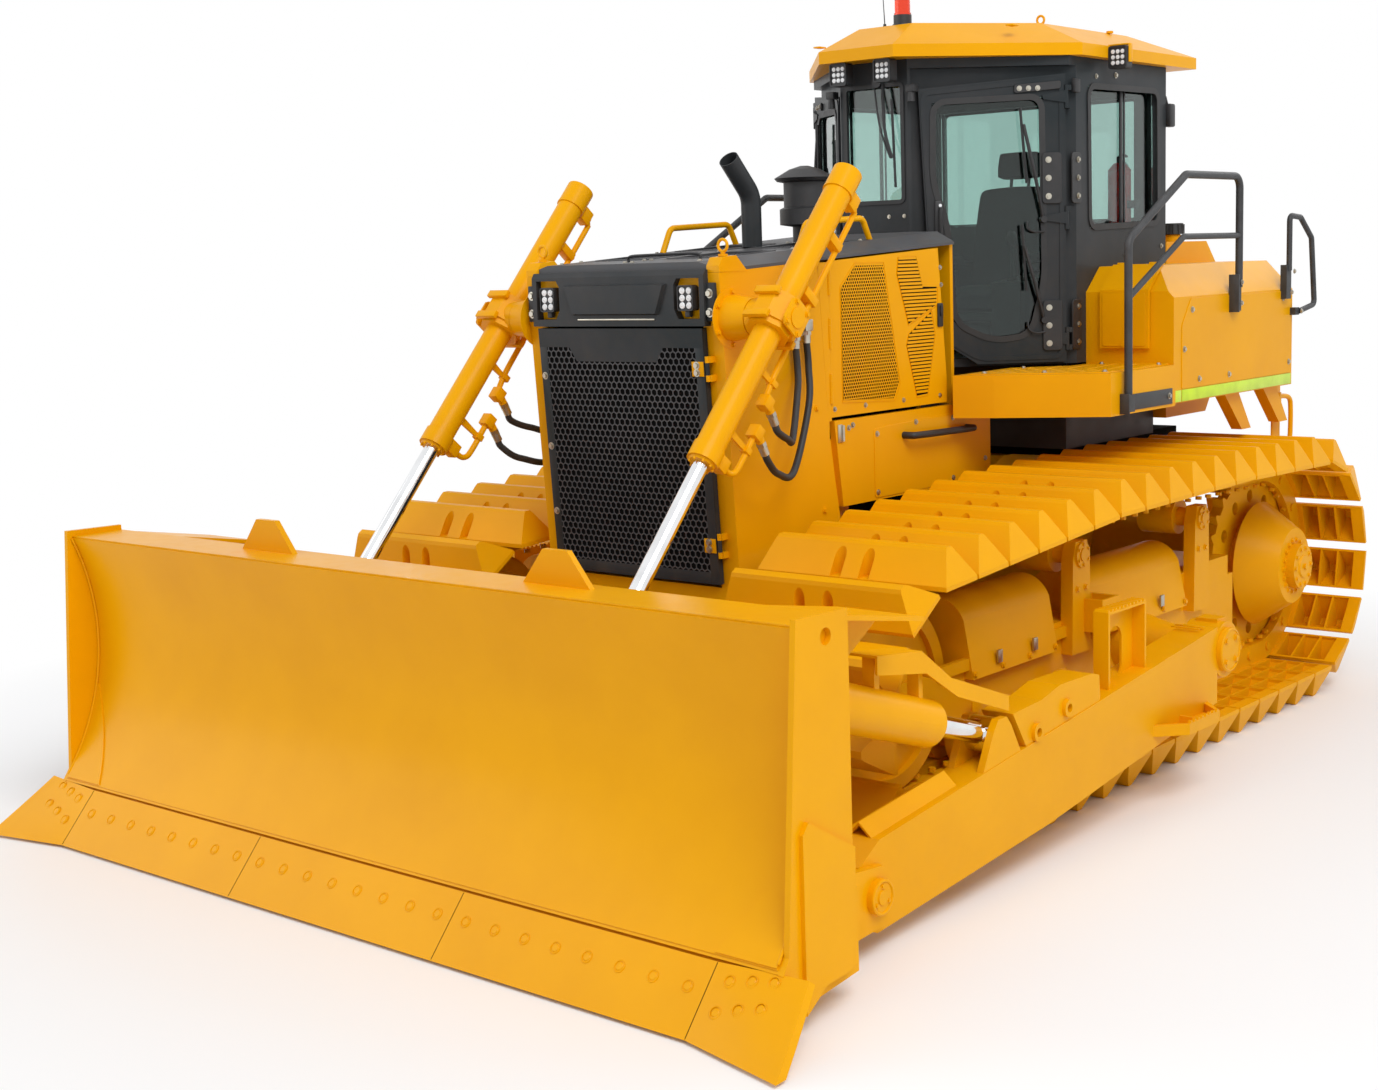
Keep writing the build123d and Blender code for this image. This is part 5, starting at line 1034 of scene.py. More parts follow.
# ---------------------------------------------------------------- lift cylinders
class DOZER_OT_lift_fittings(bpy.types.Operator):
    """Makes the ports, steel lines, clamps, elbows and hoses of the lift cylinders"""
    bl_idname = "dozer.lift_fittings"
    bl_label = "Lift cylinder fittings"

    BARRELS = ("lift_barrel_left", "lift_barrel_right")
    ELBOWS = ((0.300, 0.165), (0.430, 0.190))

    def execute(self, context):
        pair(self.ports, "lift_ports", self.BARRELS, "body")
        pair(self.lines, "lift_lines", self.BARRELS, "body")
        pair(self.clamps, "lift_clamps", self.BARRELS, "body")
        pair(self.bolts, "lift_bolts", self.BARRELS, "body")
        pair(self.crimps, "lift_crimps", self.BARRELS, "zinc")
        pair(self.trunnion_caps, "lift_trunnion_caps", self.BARRELS, "body")
        both(self.wall_ports, "hose_wall_ports", "tractor", "zinc")
        for k in range(2):
            self.hoses(k)
        return {"FINISHED"}

    def tilted(self, bm, along, back, half, x=0.0, bevel=0.004):
        """A block square to the cylinder, from its centre and half sizes."""
        turn = columns(X, LIFT_BACK, LIFT_DOWN, on_lift(along, back, x))
        made = bmesh.ops.create_cube(bm, size=2, matrix=turn @ Matrix.Diagonal((*half, 1)))
        edges = list({e for v in made["verts"] for e in v.link_edges})
        break_edges(bm, edges, bevel)

    def ports(self, bm):
        self.tilted(bm, -0.690, 0.085, (0.026, 0.034, 0.034))
        self.tilted(bm, 0.655, 0.085, (0.026, 0.034, 0.030))
        for back, along in self.ELBOWS:
            self.tilted(bm, back, along, (0.026, 0.024, 0.028))
        bar(bm, on_lift(-0.668), on_lift(-0.656), 0.0655, 40)
        bar(bm, on_lift(0.712), on_lift(0.722), 0.056, 40, 0.050)

    def lines(self, bm):
        radius = settings("dozer_hoses").pipe / 2
        tube(bm, [on_lift(-0.690, 0.119), on_lift(-0.672, 0.136), on_lift(-0.630, 0.140),
                  on_lift(-0.2, 0.140),
                  on_lift(0.15, 0.141), on_lift(0.250, 0.150), on_lift(0.285, 0.160)], radius, 12, 5)
        tube(bm, [on_lift(0.655, 0.119), on_lift(0.650, 0.160), on_lift(0.625, 0.186), on_lift(0.570, 0.192),
                  on_lift(0.500, 0.191), on_lift(0.450, 0.190)], radius, 12, 5)
        for along, back in self.ELBOWS:
            bar(bm, on_lift(along, back + 0.020), on_lift(along + 0.010, back + 0.050), 0.019, 16)

    def clamps(self, bm):
        for along, back in ((-0.480, 0.098), (-0.200, 0.112)):
            self.tilted(bm, along, back, (0.024, 0.046, 0.020), bevel=0.003)
        for along, far in ((0.215, 0.140), (0.520, 0.175)):
            plate(bm, [on_lift(along - 0.016, 0.050, -0.006), on_lift(along + 0.016, 0.050, -0.006),
                       on_lift(along + 0.010, far, -0.006), on_lift(along - 0.010, far, -0.006)], X * 0.012)
            self.tilted(bm, along, far + 0.012, (0.018, 0.018, 0.014), bevel=0.002)

    def bolts(self, bm):
        for along, back in ((-0.480, 0.144), (-0.200, 0.158), (-0.690, 0.119)):
            for x in (-0.015, 0.015):
                bolt(bm, on_lift(along, back, x), LIFT_BACK, 0.006)
        for angle in range(0, 360, 45):
            turn = math.radians(angle)
            place = on_lift(0.712, 0.0480 * math.sin(turn), 0.0480 * math.cos(turn))
            bolt(bm, place + LIFT_DOWN * 0.006, LIFT_DOWN, 0.0055, 0.012, False)

    def crimps(self, bm):
        for along, back in self.ELBOWS:
            start = on_lift(along + 0.010, back + 0.050)
            ahead = (LIFT_BACK + LIFT_DOWN * 0.35).normalized()
            bar(bm, start, start + ahead * 0.018, 0.021, 6)
            bar(bm, start + ahead * 0.018, start + ahead * 0.058, 0.0185, 18)
            bar(bm, start + ahead * 0.024, start + ahead * 0.030, 0.0195, 18)

    def trunnion_caps(self, bm):
        """The bolted halves of the swivel block round the barrel."""
        for side in (-1, 1):
            corners = [on_lift(a, b, side * 0.1035) for a, b in
                       ((-0.066, -0.045), (-0.066, 0.045), (-0.045, 0.066), (0.045, 0.066), (0.066, 0.045),
                        (0.066, -0.045), (0.045, -0.066), (-0.045, -0.066))]
            if side > 0:
                plate(bm, corners, X * 0.010, 0.002)
                bar(bm, on_lift(0, 0, 0.1135), on_lift(0, 0, 0.1185), 0.042, 28)
                for a, b in ((-0.050, -0.042), (-0.050, 0.042), (0.050, 0.042), (0.050, -0.042)):
                    bolt(bm, on_lift(a, b, 0.1135), X, 0.010)
        for along in (-0.058, 0.058):
            for back in (-0.104, 0.104):
                self.tilted(bm, along, back, (0.060, 0.010, 0.016), bevel=0.002)

    WALL = ((-0.835, 2.075), (-0.760, 2.095))

    def wall_ports(self, bm):
        for y, z in self.WALL:
            slab(bm, (0.5495, y - 0.026, z - 0.010), (0.600, y + 0.026, z + 0.040), 0.004)
            bar(bm, (0.580, y, z - 0.008), (0.580, y, z - 0.060), 0.0185, 18)
            bar(bm, (0.580, y, z - 0.010), (0.580, y, z - 0.026), 0.021, 6)

    def hoses(self, k):
        along, back = self.ELBOWS[k]
        ahead = (LIFT_BACK + LIFT_DOWN * 0.35).normalized()
        near = on_lift(along + 0.010, back + 0.050) + ahead * 0.050
        y, z = self.WALL[k]
        drop = (1.655, 1.520)[k]
        route = [Vector((0.580, y, z - 0.050)), Vector((0.585, y + 0.004, z - 0.16)),
                 Vector((0.630, y - 0.060, (z + drop) / 2 - 0.03)),
                 Vector((0.690, (y + near.y) / 2 + 0.020, drop)),
                 Vector((0.745, near.y + 0.115, drop + 0.010)), near + ahead * 0.045, near]
        for side, body in ((1, "lift_barrel_left"), (-1, "lift_barrel_right")):
            points = [Vector((side * p.x, p.y, p.z)) for p in route]
            bm = bmesh.new()
            tube(bm, points, settings("dozer_hoses").hose / 2, 14, 8)
            bmesh.ops.recalc_face_normals(bm, faces=bm.faces[:])
            name = f"lift_hose_{('upper', 'lower')[k]}_{body.split('_')[-1]}"
            data = bpy.data.meshes.new(name)
            bm.to_mesh(data)
            bm.free()
            data.polygons.foreach_set("use_smooth", [True] * len(data.polygons))
            data.materials.append(FINISH["rubber"])
            hose = bpy.data.objects.new(name, data)
            bpy.context.scene.collection.objects.link(hose)
            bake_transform(hose)


# ---------------------------------------------------------------- cab
class DOZER_OT_cab_doors(bpy.types.Operator):
    """Makes the seals, handle, hinge plates, stay and wipers of the cab doors"""
    bl_idname = "dozer.cab_doors"
    bl_label = "Cab doors"

    ENTRIES = ("cab_entry_left", "cab_entry_right")

    def execute(self, context):
        pair(self.seals, "door_seal", self.ENTRIES, "rubber")
        pair(self.edges, "door_edge", self.ENTRIES, "charcoal")
        pair(self.handles, "door_handle", self.ENTRIES, "plastic")
        pair(self.locks, "door_lock", self.ENTRIES, "chrome")
        pair(self.door_leaves, "door_hinge_leaf", self.ENTRIES, "plastic")
        pair(self.door_leaf_bolts, "door_hinge_bolts", self.ENTRIES, "zinc")
        pair(self.wipers, "door_wipers", self.ENTRIES, "plastic")
        both(self.post_leaves, "post_hinge_leaves", "tractor", "plastic")
        both(self.post_leaf_bolts, "post_hinge_bolts", "tractor", "zinc")
        return {"FINISHED"}

    def seals(self, bm):
        centre = Vector((0.40, 2.56))
        grown = [centre + (Vector(p) - centre) * 1.035 for p in DOOR_WINDOW]
        band(bm, [on_facet(s, z, -0.002) for s, z in grown], 0.030, FACET_OUT * 0.0065, 0.075, 5)

    def edges(self, bm):
        outline = [(0.058, 3.170), (0.764, 3.228), (0.764, 1.862), (0.335, 1.862), (0.158, 1.972),
                   (0.092, 2.500)]
        band(bm, [on_facet(s, z, 0.0002) for s, z in outline], 0.022, FACET_OUT * 0.004, 0.05, 4)

    def handles(self, bm):
        turn = columns(Vector((0.7258, 0.6879, 0)), Z, FACET_OUT, on_facet(0.143, 2.515, 0.0))
        made = bmesh.ops.create_cube(bm, size=2, matrix=turn @ Matrix.Diagonal((0.021, 0.135, 0.012, 1)))
        edges = list({e for v in made["verts"] for e in v.link_edges})
        break_edges(bm, edges, 0.009, 3)
        tube(bm, [on_facet(0.150, 2.61, 0.010), on_facet(0.150, 2.60, 0.034), on_facet(0.150, 2.52, 0.038),
                  on_facet(0.150, 2.44, 0.034), on_facet(0.150, 2.43, 0.010)], 0.009, 10, 5)

    def locks(self, bm):
        bar(bm, on_facet(0.150, 2.625, 0.010), on_facet(0.150, 2.625, 0.017), 0.009, 16, 0.008)

    LEAF_ZS = (1.905, 2.620)

    def door_leaves(self, bm):
        for z in self.LEAF_ZS:
            corners = [on_facet(s, h, 0.0042) for s, h in
                       ((0.655, z), (0.752, z), (0.752, z + 0.245), (0.655, z + 0.245))]
            panel(bm, corners, FACET_OUT * 0.008, 0.018, 0.0015)
        corners = [on_facet(s, h, 0.0042) for s,
                   h in ((0.52, 3.150), (0.750, 3.168), (0.750, 3.206), (0.52, 3.190))]
        panel(bm, corners, FACET_OUT * 0.008, 0.012, 0.0015)

    def door_leaf_bolts(self, bm):
        for z in self.LEAF_ZS:
            for k in range(3):
                bolt(bm, on_facet(0.686, z + 0.035 + 0.0875 * k, 0.0122), FACET_OUT, 0.0105)
        for s in (0.545, 0.590, 0.635):
            bolt(bm, on_facet(s, 3.172, 0.0122), FACET_OUT, 0.009)

    def wipers(self, bm):
        """Two arms with their blades, pivots and rest hooks."""
        for foot, tip, blade in (((0.660, 2.545), (0.560, 3.000), ((0.545, 3.08), (0.575, 2.72))),
                                 ((0.660, 2.055), (0.560, 2.420), ((0.550, 2.52), (0.570, 2.20)))):
            tube(bm, [on_facet(*foot, 0.016), on_facet((foot[0] + tip[0]) / 2, (foot[1] + tip[1]) / 2, 0.036),
                      on_facet(*tip, 0.030)], 0.0085, 8, 4)
            bar(bm, on_facet(*foot, 0.0), on_facet(*foot, 0.028), 0.020, 16, 0.016)
            tube(bm, [on_facet(*blade[0], 0.026), on_facet(*blade[1], 0.024)], 0.007, 8, 2)
            bar(bm, on_facet(*tip, 0.030), on_facet(tip[0], tip[1] - 0.02, 0.024), 0.009, 8)
            tube(bm, [on_facet(foot[0] - 0.080, foot[1] - 0.01, 0.006),
                      on_facet(foot[0] - 0.075, foot[1] - 0.045, 0.016),
                      on_facet(foot[0] - 0.040, foot[1] - 0.062, 0.018),
                      on_facet(foot[0] + 0.004, foot[1] - 0.058, 0.016)],
                 0.005, 8, 4)

    def post_leaves(self, bm):
        for z in self.LEAF_ZS:
            corners = at_x(0.7755, rectangle(1.146, z, 1.236, z + 0.245))
            panel(bm, corners, X * 0.0075, 0.018, 0.0015)
        slab(bm, (0.7755, 1.150, 3.150), (0.800, 1.200, 3.215), 0.004)

    def post_leaf_bolts(self, bm):
        for z in self.LEAF_ZS:
            for k in range(3):
                bolt(bm, (0.783, 1.204, z + 0.035 + 0.0875 * k), X, 0.0105)
        bolt(bm, (0.7755, 1.60, 3.255), X, 0.0105)


class DOZER_OT_cab_trim(bpy.types.Operator):
    """Makes the cab's window seals, wiper, lamps, beacon foot, aerial, mirrors, eyes and extinguisher"""
    bl_idname = "dozer.cab_trim"
    bl_label = "Cab trim"

    SIDE_WINDOW = ((1.305, 3.205), (2.070, 3.215), (2.080, 2.505), (1.315, 2.485))

    def execute(self, context):
        both(self.side_seals, "side_window_seals", "tractor", "rubber")
        single(self.end_seals, "end_window_seals", "tractor", "rubber")
        both(self.sliders, "window_sliders", "tractor", "plastic")
        single(self.front_wiper, "front_wiper", "tractor", "plastic")
        both(self.lamp_faces, "work_lamp_faces", "tractor", "reflector")
        both(self.lamp_rims, "work_lamp_rims", "tractor", "plastic")
        both(self.lamp_brackets, "work_lamp_brackets", "tractor", "body")
        single(self.beacon_foot, "beacon_foot", "tractor", "plastic")
        single(self.aerial, "aerial", "tractor", "plastic")
        both(self.roof_eyes, "roof_eyes", "tractor", "body")
        both(self.mirrors, "mirrors", "tractor", "plastic")
        both(self.body_bolts, "cab_bolts", "tractor", "zinc")
        single(self.extinguisher, "extinguisher", "tractor", "red")
        single(self.extinguisher_top, "extinguisher_valve", "tractor", "plastic")
        return {"FINISHED"}

    def side_seals(self, bm):
        band(bm, at_x(0.7752, self.SIDE_WINDOW), 0.030, X * 0.006, 0.07, 6)

    def end_seals(self, bm):
        band(bm, at_y(0.5848, rectangle(-0.180, 2.640, 0.180, 3.220)),
             0.020, -Y * 0.006, 0.03, 4)
        band(bm, at_y(2.1502, rectangle(-0.628, 2.528, 0.628, 3.192)),
             0.026, Y * 0.006, 0.05, 4)

    def sliders(self, bm):
        slab(bm, (0.7440, 1.690, 2.505), (0.7540, 1.716, 3.190), 0.002)
        slab(bm, (0.7440, 1.735, 2.505), (0.7500, 1.748, 3.190), 0.001)
        slab(bm, (0.7440, 1.325, 2.79), (0.7620, 1.352, 2.90), 0.004)

    def front_wiper(self, bm):
        tube(bm, [(0.060, 0.578, 3.225), (0.085, 0.552, 3.00), (0.120, 0.562, 2.86)], 0.008, 8, 4)
        tube(bm, [(0.010, 0.578, 3.225), (0.050, 0.560, 3.02), (0.110, 0.562, 2.86)], 0.005, 8, 4)
        bar(bm, (0.035, 0.585, 3.225), (0.035, 0.560, 3.225), 0.026, 16)
        tube(bm, [(0.120, 0.566, 3.14), (0.135, 0.566, 2.72)], 0.0065, 8, 2)

    LAMPS = ((0.130, 0.4748, 3.270, -1), (0.8803, 1.4248, 3.325, -1), (0.560, 2.3502, 3.270, 1))

    def lamp_faces(self, bm):
        for x, y, z, way in self.LAMPS:
            for row in (-1, 0, 1):
                for column in (-1, 0, 1):
                    place = Vector((x + column * 0.026, y, z + row * 0.027))
                    bar(bm, place, place + Y * way * 0.0030, 0.0110, 10, 0.0095)
                    bar(bm, place + Y * way * 0.0030, place + Y * way * 0.0045, 0.0050, 8, 0.003)

    def lamp_rims(self, bm):
        for x, y, z, way in self.LAMPS:
            outline = at_y(0, rectangle(-0.049, -0.054, 0.049, 0.054))
            corners = [Vector((x, y, z)) + corner for corner in outline]
            band(bm, corners, 0.006, Y * way * 0.006, 0.012)
            for fin in range(6):
                fin_x = x - 0.040 + fin * 0.016
                near, far = sorted((y - way * 0.052, y - way * 0.068))
                slab(bm, (fin_x - 0.0015, near, z - 0.044), (fin_x + 0.0015, far, z + 0.044))

    def lamp_brackets(self, bm):
        slab(bm, (0.790, 1.440, 3.3830), (0.925, 1.475, 3.3905), 0.002)
        slab(bm, (0.9305, 1.440, 3.300), (0.9365, 1.475, 3.390), 0.002)

    def beacon_foot(self, bm):
        bar(bm, (0.060, 0.760, 3.5005), (0.060, 0.760, 3.512), 0.055, 32, 0.050)
        bar(bm, (0.060, 0.760, 3.512), (0.060, 0.760, 3.5560), 0.0445, 32)

    def aerial(self, bm):
        bar(bm, (-0.075, 0.800, 3.500), (-0.075, 0.800, 3.530), 0.012, 14, 0.007)
        bar(bm, (-0.075, 0.800, 3.530), (-0.085, 0.796, 3.745), 0.0028, 8, 0.0016)

    def roof_eyes(self, bm):
        slab(bm, (0.560, 0.900, 3.466), (0.600, 0.960, 3.474), 0.002)
        bar(bm, (0.580, 1.9, 3.500), (0.580, 1.9, 3.512), 0.018, 6)
        eye_ring(bm, (0.520, 1.30, 3.528), Y, 0.020, 0.006)
        bar(bm, (0.520, 1.30, 3.492), (0.520, 1.30, 3.510), 0.008, 10)

    def mirrors(self, bm):
        slab(bm, (0.215, 0.545, 3.165), (0.262, 0.592, 3.200), 0.004)
        bar(bm, (0.238, 0.560, 3.165), (0.238, 0.560, 3.120), 0.016, 14, 0.020)
        slab(bm, (0.755, 2.155, 3.020), (0.800, 2.215, 3.140), 0.010)
        bar(bm, (0.770, 2.150, 3.175), (0.770, 2.175, 3.130), 0.008, 10)

    def body_bolts(self, bm):
        for y, z in ((1.70, 2.36), (1.40, 3.24), (2.10, 2.40)):
            bolt(bm, (0.7752, y, z), X, 0.009)
        for x in (0.08, 0.17):
            bolt(bm, (x, 0.5848, 2.58), -Y, 0.007)

    def extinguisher(self, bm):
        bar(bm, (0.615, 1.930, 2.470), (0.615, 1.930, 2.800), 0.060, 32)
        bar(bm, (0.615, 1.930, 2.800), (0.615, 1.930, 2.835), 0.060, 32, 0.030)
        bar(bm, (0.615, 1.930, 2.460), (0.615, 1.930, 2.470), 0.054, 32, 0.060)

    def extinguisher_top(self, bm):
        bar(bm, (0.615, 1.930, 2.835), (0.615, 1.930, 2.865), 0.016, 16)
        tube(bm, [(0.615, 1.910, 2.862), (0.615, 1.970, 2.880), (0.615, 2.010, 2.872)], 0.007, 8, 4)
        tube(bm, [(0.615, 1.950, 2.850), (0.632, 1.995, 2.80), (0.640, 1.990, 2.65), (0.640, 1.985, 2.55)],
             0.008, 8, 5)
        slab(bm, (0.672, 1.905, 2.600), (0.720, 1.955, 2.640), 0.003)


class DOZER_OT_seat(bpy.types.Operator):
    """Makes the operator's seat, its frame, armrests and the levers"""
    bl_idname = "dozer.seat"
    bl_label = "Operator's seat"

    def execute(self, context):
        squab = self.cushion("seat_cushion", (-0.235, 1.340, 2.075), (0.235, 1.790, 2.195), 0.030,
                             Matrix.Identity(4))
        lean = Matrix.Translation((0, 1.815, 2.150)) @ Matrix.Rotation(math.radians(-11), 4, "X")
        back = self.cushion("seat_back", (-0.230, -0.050, 0.010), (0.230, 0.060, 0.600), 0.028, lean)
        rest = self.cushion("head_rest", (-0.125, -0.040, 0.650), (0.125, 0.045, 0.790), 0.020, lean)
        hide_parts("seat")
        single(self.frame, "seat_frame", "tractor", "plastic")
        both(self.armrests, "armrests", "tractor", "cloth")
        both(self.levers, "control_levers", "tractor", "plastic")
        return {"FINISHED"}

    def cushion(self, name, low, high, crown, matrix):
        """A crowned closed form whose faces swell between pinched edges, with sewn channels."""
        low, high = Vector(low), Vector(high)
        centre, half = (low + high) / 2, (high - low) / 2
        bm = bmesh.new()
        bmesh.ops.create_cube(bm, size=2)
        bmesh.ops.subdivide_edges(bm, edges=bm.edges[:], cuts=11, use_grid_fill=True)
        thin = min(range(3), key=lambda axis: half[axis])
        wide = [axis for axis in range(3) if axis != thin]
        for v in bm.verts:
            u, w = v.co[wide[0]], v.co[wide[1]]
            swell = (1 - u * u) * (1 - w * w)
            channel = 0.006 * max(0.0, 1 - abs(abs(u) - 0.55) / 0.09)
            v.co[thin] *= half[thin] * (0.62 + 0.38 * swell ** 0.35) + crown * swell - channel
            pinch = 1 - 0.045 * (u * u * w * w)
            v.co[wide[0]] = u * half[wide[0]] * pinch
            v.co[wide[1]] = w * half[wide[1]] * pinch
        bmesh.ops.smooth_vert(bm, verts=bm.verts[:], factor=0.5, use_axis_x=True, use_axis_y=True,
                              use_axis_z=True)
        bmesh.ops.translate(bm, vec=centre, verts=bm.verts[:])
        set_in(bm, matrix)
        piece = finish_piece(bm, name, "tractor", "cloth", crease=80)
        finer = piece.modifiers.new("finer", "SUBSURF")
        finer.levels = finer.render_levels = 1
        return piece

    def frame(self, bm):
        slab(bm, (-0.215, 1.350, 2.030), (0.215, 1.780, 2.085), 0.012)
        slab(bm, (-0.150, 1.400, 1.875), (0.150, 1.720, 2.032), 0.020)
        for x in (-0.055, 0.055):
            bar(bm, (x, 1.945, 2.700), (x, 1.965, 2.840), 0.009, 12)
        for k in range(5):
            slab(bm, (-0.140, 1.410, 1.895 + 0.026 * k), (0.140, 1.710, 1.905 + 0.026 * k), 0.003)

    def armrests(self, bm):
        slab(bm, (0.262, 1.480, 2.330), (0.335, 1.800, 2.380), 0.016)
        bar(bm, (0.290, 1.800, 2.340), (0.240, 1.900, 2.330), 0.014, 12)

    def levers(self, bm):
        bar(bm, (0.375, 1.260, 2.398), (0.375, 1.245, 2.440), 0.010, 12)
        stretched = Matrix.Translation((0.375, 1.243, 2.460)) @ Matrix.Diagonal((1, 1, 1.35, 1))
        bmesh.ops.create_uvsphere(bm, u_segments=16, v_segments=10, radius=0.028, matrix=stretched)
        bar(bm, (0.375, 1.260, 2.238), (0.375, 1.260, 2.262), 0.045, 20, 0.022)


# ---------------------------------------------------------------- platforms, fender boxes and rails
class DOZER_OT_fender_trim(bpy.types.Operator):
    """Makes the side panels, strips, bolts, small boxes, knobs and handles of the fender boxes"""
    bl_idname = "dozer.fender_trim"
    bl_label = "Fender boxes"

    SIDE = 1.2552

    def execute(self, context):
        both(self.panels, "fender_panels", "tractor", "body")
        both(self.strips, "reflective_strips", "tractor", "strip")
        both(self.bolts, "fender_bolts", "tractor", "zinc")
        both(self.front_box, "fender_front_box", "tractor", "body")
        both(self.knobs, "fender_knobs", "tractor", "plastic")
        both(self.handles, "rear_handles", "tractor", "body")
        both(self.rail_bolts, "rail_bolts", "tractor", "zinc")
        both(self.rail_feet, "rail_feet", "tractor", "rail")
        single(self.lid_seams, "lid_panel", "box_lid", "body")
        single(self.tank_cap, "tank_caps", "tractor", "plastic")
        single(self.filler, "filler_cap", "tractor", "steel")
        return {"FINISHED"}

    def panels(self, bm):
        corners = [Vector((self.SIDE, y, z)) for y, z in
                   ((1.372, 1.700), (2.670, 1.700), (2.676, 2.030), (2.655, 2.105), (2.565, 2.142),
                    (1.470, 2.142),
                    (1.372, 2.010))]
        panel(bm, corners, X * 0.004, 0.012, 0.0015)

    def strips(self, bm):
        for y0, y1 in ((1.300, 1.365), (1.375, 2.672)):
            slab(bm, (self.SIDE, y0, 1.640), (self.SIDE + 0.0045, y1, 1.697), 0.001)
        slab(bm, (1.050, 1.2865, 1.640), (1.250, 1.2898, 1.672), 0.001)

    def bolts(self, bm):
        for y, z in ((1.480, 2.085), (1.395, 1.895), (1.560, 1.740), (1.900, 1.740), (2.640, 1.760),
                     (2.560, 2.105)):
            bolt(bm, (self.SIDE + 0.004, y, z), X, 0.011)
        for x in (0.90, 1.02, 1.09):
            bolt(bm, (x, 1.455, 2.3052), Z, 0.009)

    def front_box(self, bm):
        corners = at_y(1.2895, rectangle(0.870, 1.832, 1.228, 1.682))
        panel(bm, corners, -Y * 0.010, 0.006, 0.002)
        corners = at_y(1.2794, rectangle(1.072, 1.822, 1.218, 1.692))
        panel(bm, corners, -Y * 0.003, 0.004, 0.001)

    def knobs(self, bm):
        bar(bm, (1.105, 1.277, 1.755), (1.105, 1.250, 1.755), 0.010, 14)
        bar(bm, (1.105, 1.255, 1.755), (1.105, 1.240, 1.755), 0.019, 6, 0.015)

    def handles(self, bm):
        tube(bm, [(1.175, 2.700, 1.560), (1.175, 2.775, 1.562), (1.175, 2.850, 1.545), (1.175, 2.872, 1.490),
                  (1.175, 2.868, 1.330), (1.175, 2.830, 1.262), (1.175, 2.765, 1.250)], 0.0135, 12, 6)
        slab(bm, (1.140, 2.688, 1.240), (1.150, 2.790, 1.640), 0.002)
        slab(bm, (1.146, 2.690, 1.535), (1.190, 2.716, 1.588), 0.003)
        slab(bm, (1.146, 2.745, 1.232), (1.190, 2.785, 1.272), 0.003)
        bar(bm, (1.100, 2.700, 1.690), (1.190, 2.760, 1.690), 0.020, 14)

    def rail_feet(self, bm):
        slab(bm, (1.2560, 1.895, 2.055), (1.3125, 1.907, 2.245), 0.002)
        slab(bm, (1.2660, 0.722, 1.630), (1.3150, 0.732, 1.725), 0.002)
        slab(bm, (1.2658, 0.730, 1.640), (1.2700, 1.250, 1.715), 0.001)

    def rail_bolts(self, bm):
        for y, z in ((1.925, 2.205), (1.925, 2.100), (2.545, 2.135), (2.575, 2.245), (2.675, 2.030)):
            bolt(bm, (1.3135, y, z), X, 0.0095)
        bolt(bm, (1.2702, 1.215, 1.680), X, 0.011)

    def lid_seams(self, bm):
        corners = at_y(1.2658, rectangle(0.880, 2.176, 1.115, 1.915))
        panel(bm, corners, -Y * 0.0028, 0.012, 0.001)
        corners = [Vector((x, y, z)) for x, y, z in
                   ((0.880, 1.2745, 2.194), (1.115, 1.2745, 2.194), (1.115, 1.4045, 2.3085),
                    (0.880, 1.4045, 2.3085))]
        panel(bm, corners, Vector((0, -0.66, 0.75)) * 0.0028, 0.010, 0.001)
        bar(bm, (0.9975, 1.2655, 1.925), (0.9975, 1.2560, 1.925), 0.013, 16)

    def tank_cap(self, bm):
        bar(bm, (0.665, 2.450, 2.461), (0.665, 2.450, 2.520), 0.062, 32, 0.058)
        for k in range(12):
            turn = k * math.pi / 6
            place = Vector((0.665 + 0.060 * math.cos(turn), 2.450 + 0.060 * math.sin(turn), 2.464))
            bar(bm, place, place + Z * 0.050, 0.006, 8)
        bar(bm, (0.485, 2.500, 2.461), (0.485, 2.500, 2.475), 0.050, 32)

    def filler(self, bm):
        bar(bm, (0.485, 2.500, 2.475), (0.485, 2.500, 2.510), 0.044, 32, 0.040)
        eye_ring(bm, (0.485, 2.500, 2.510), X, 0.030, 0.005)


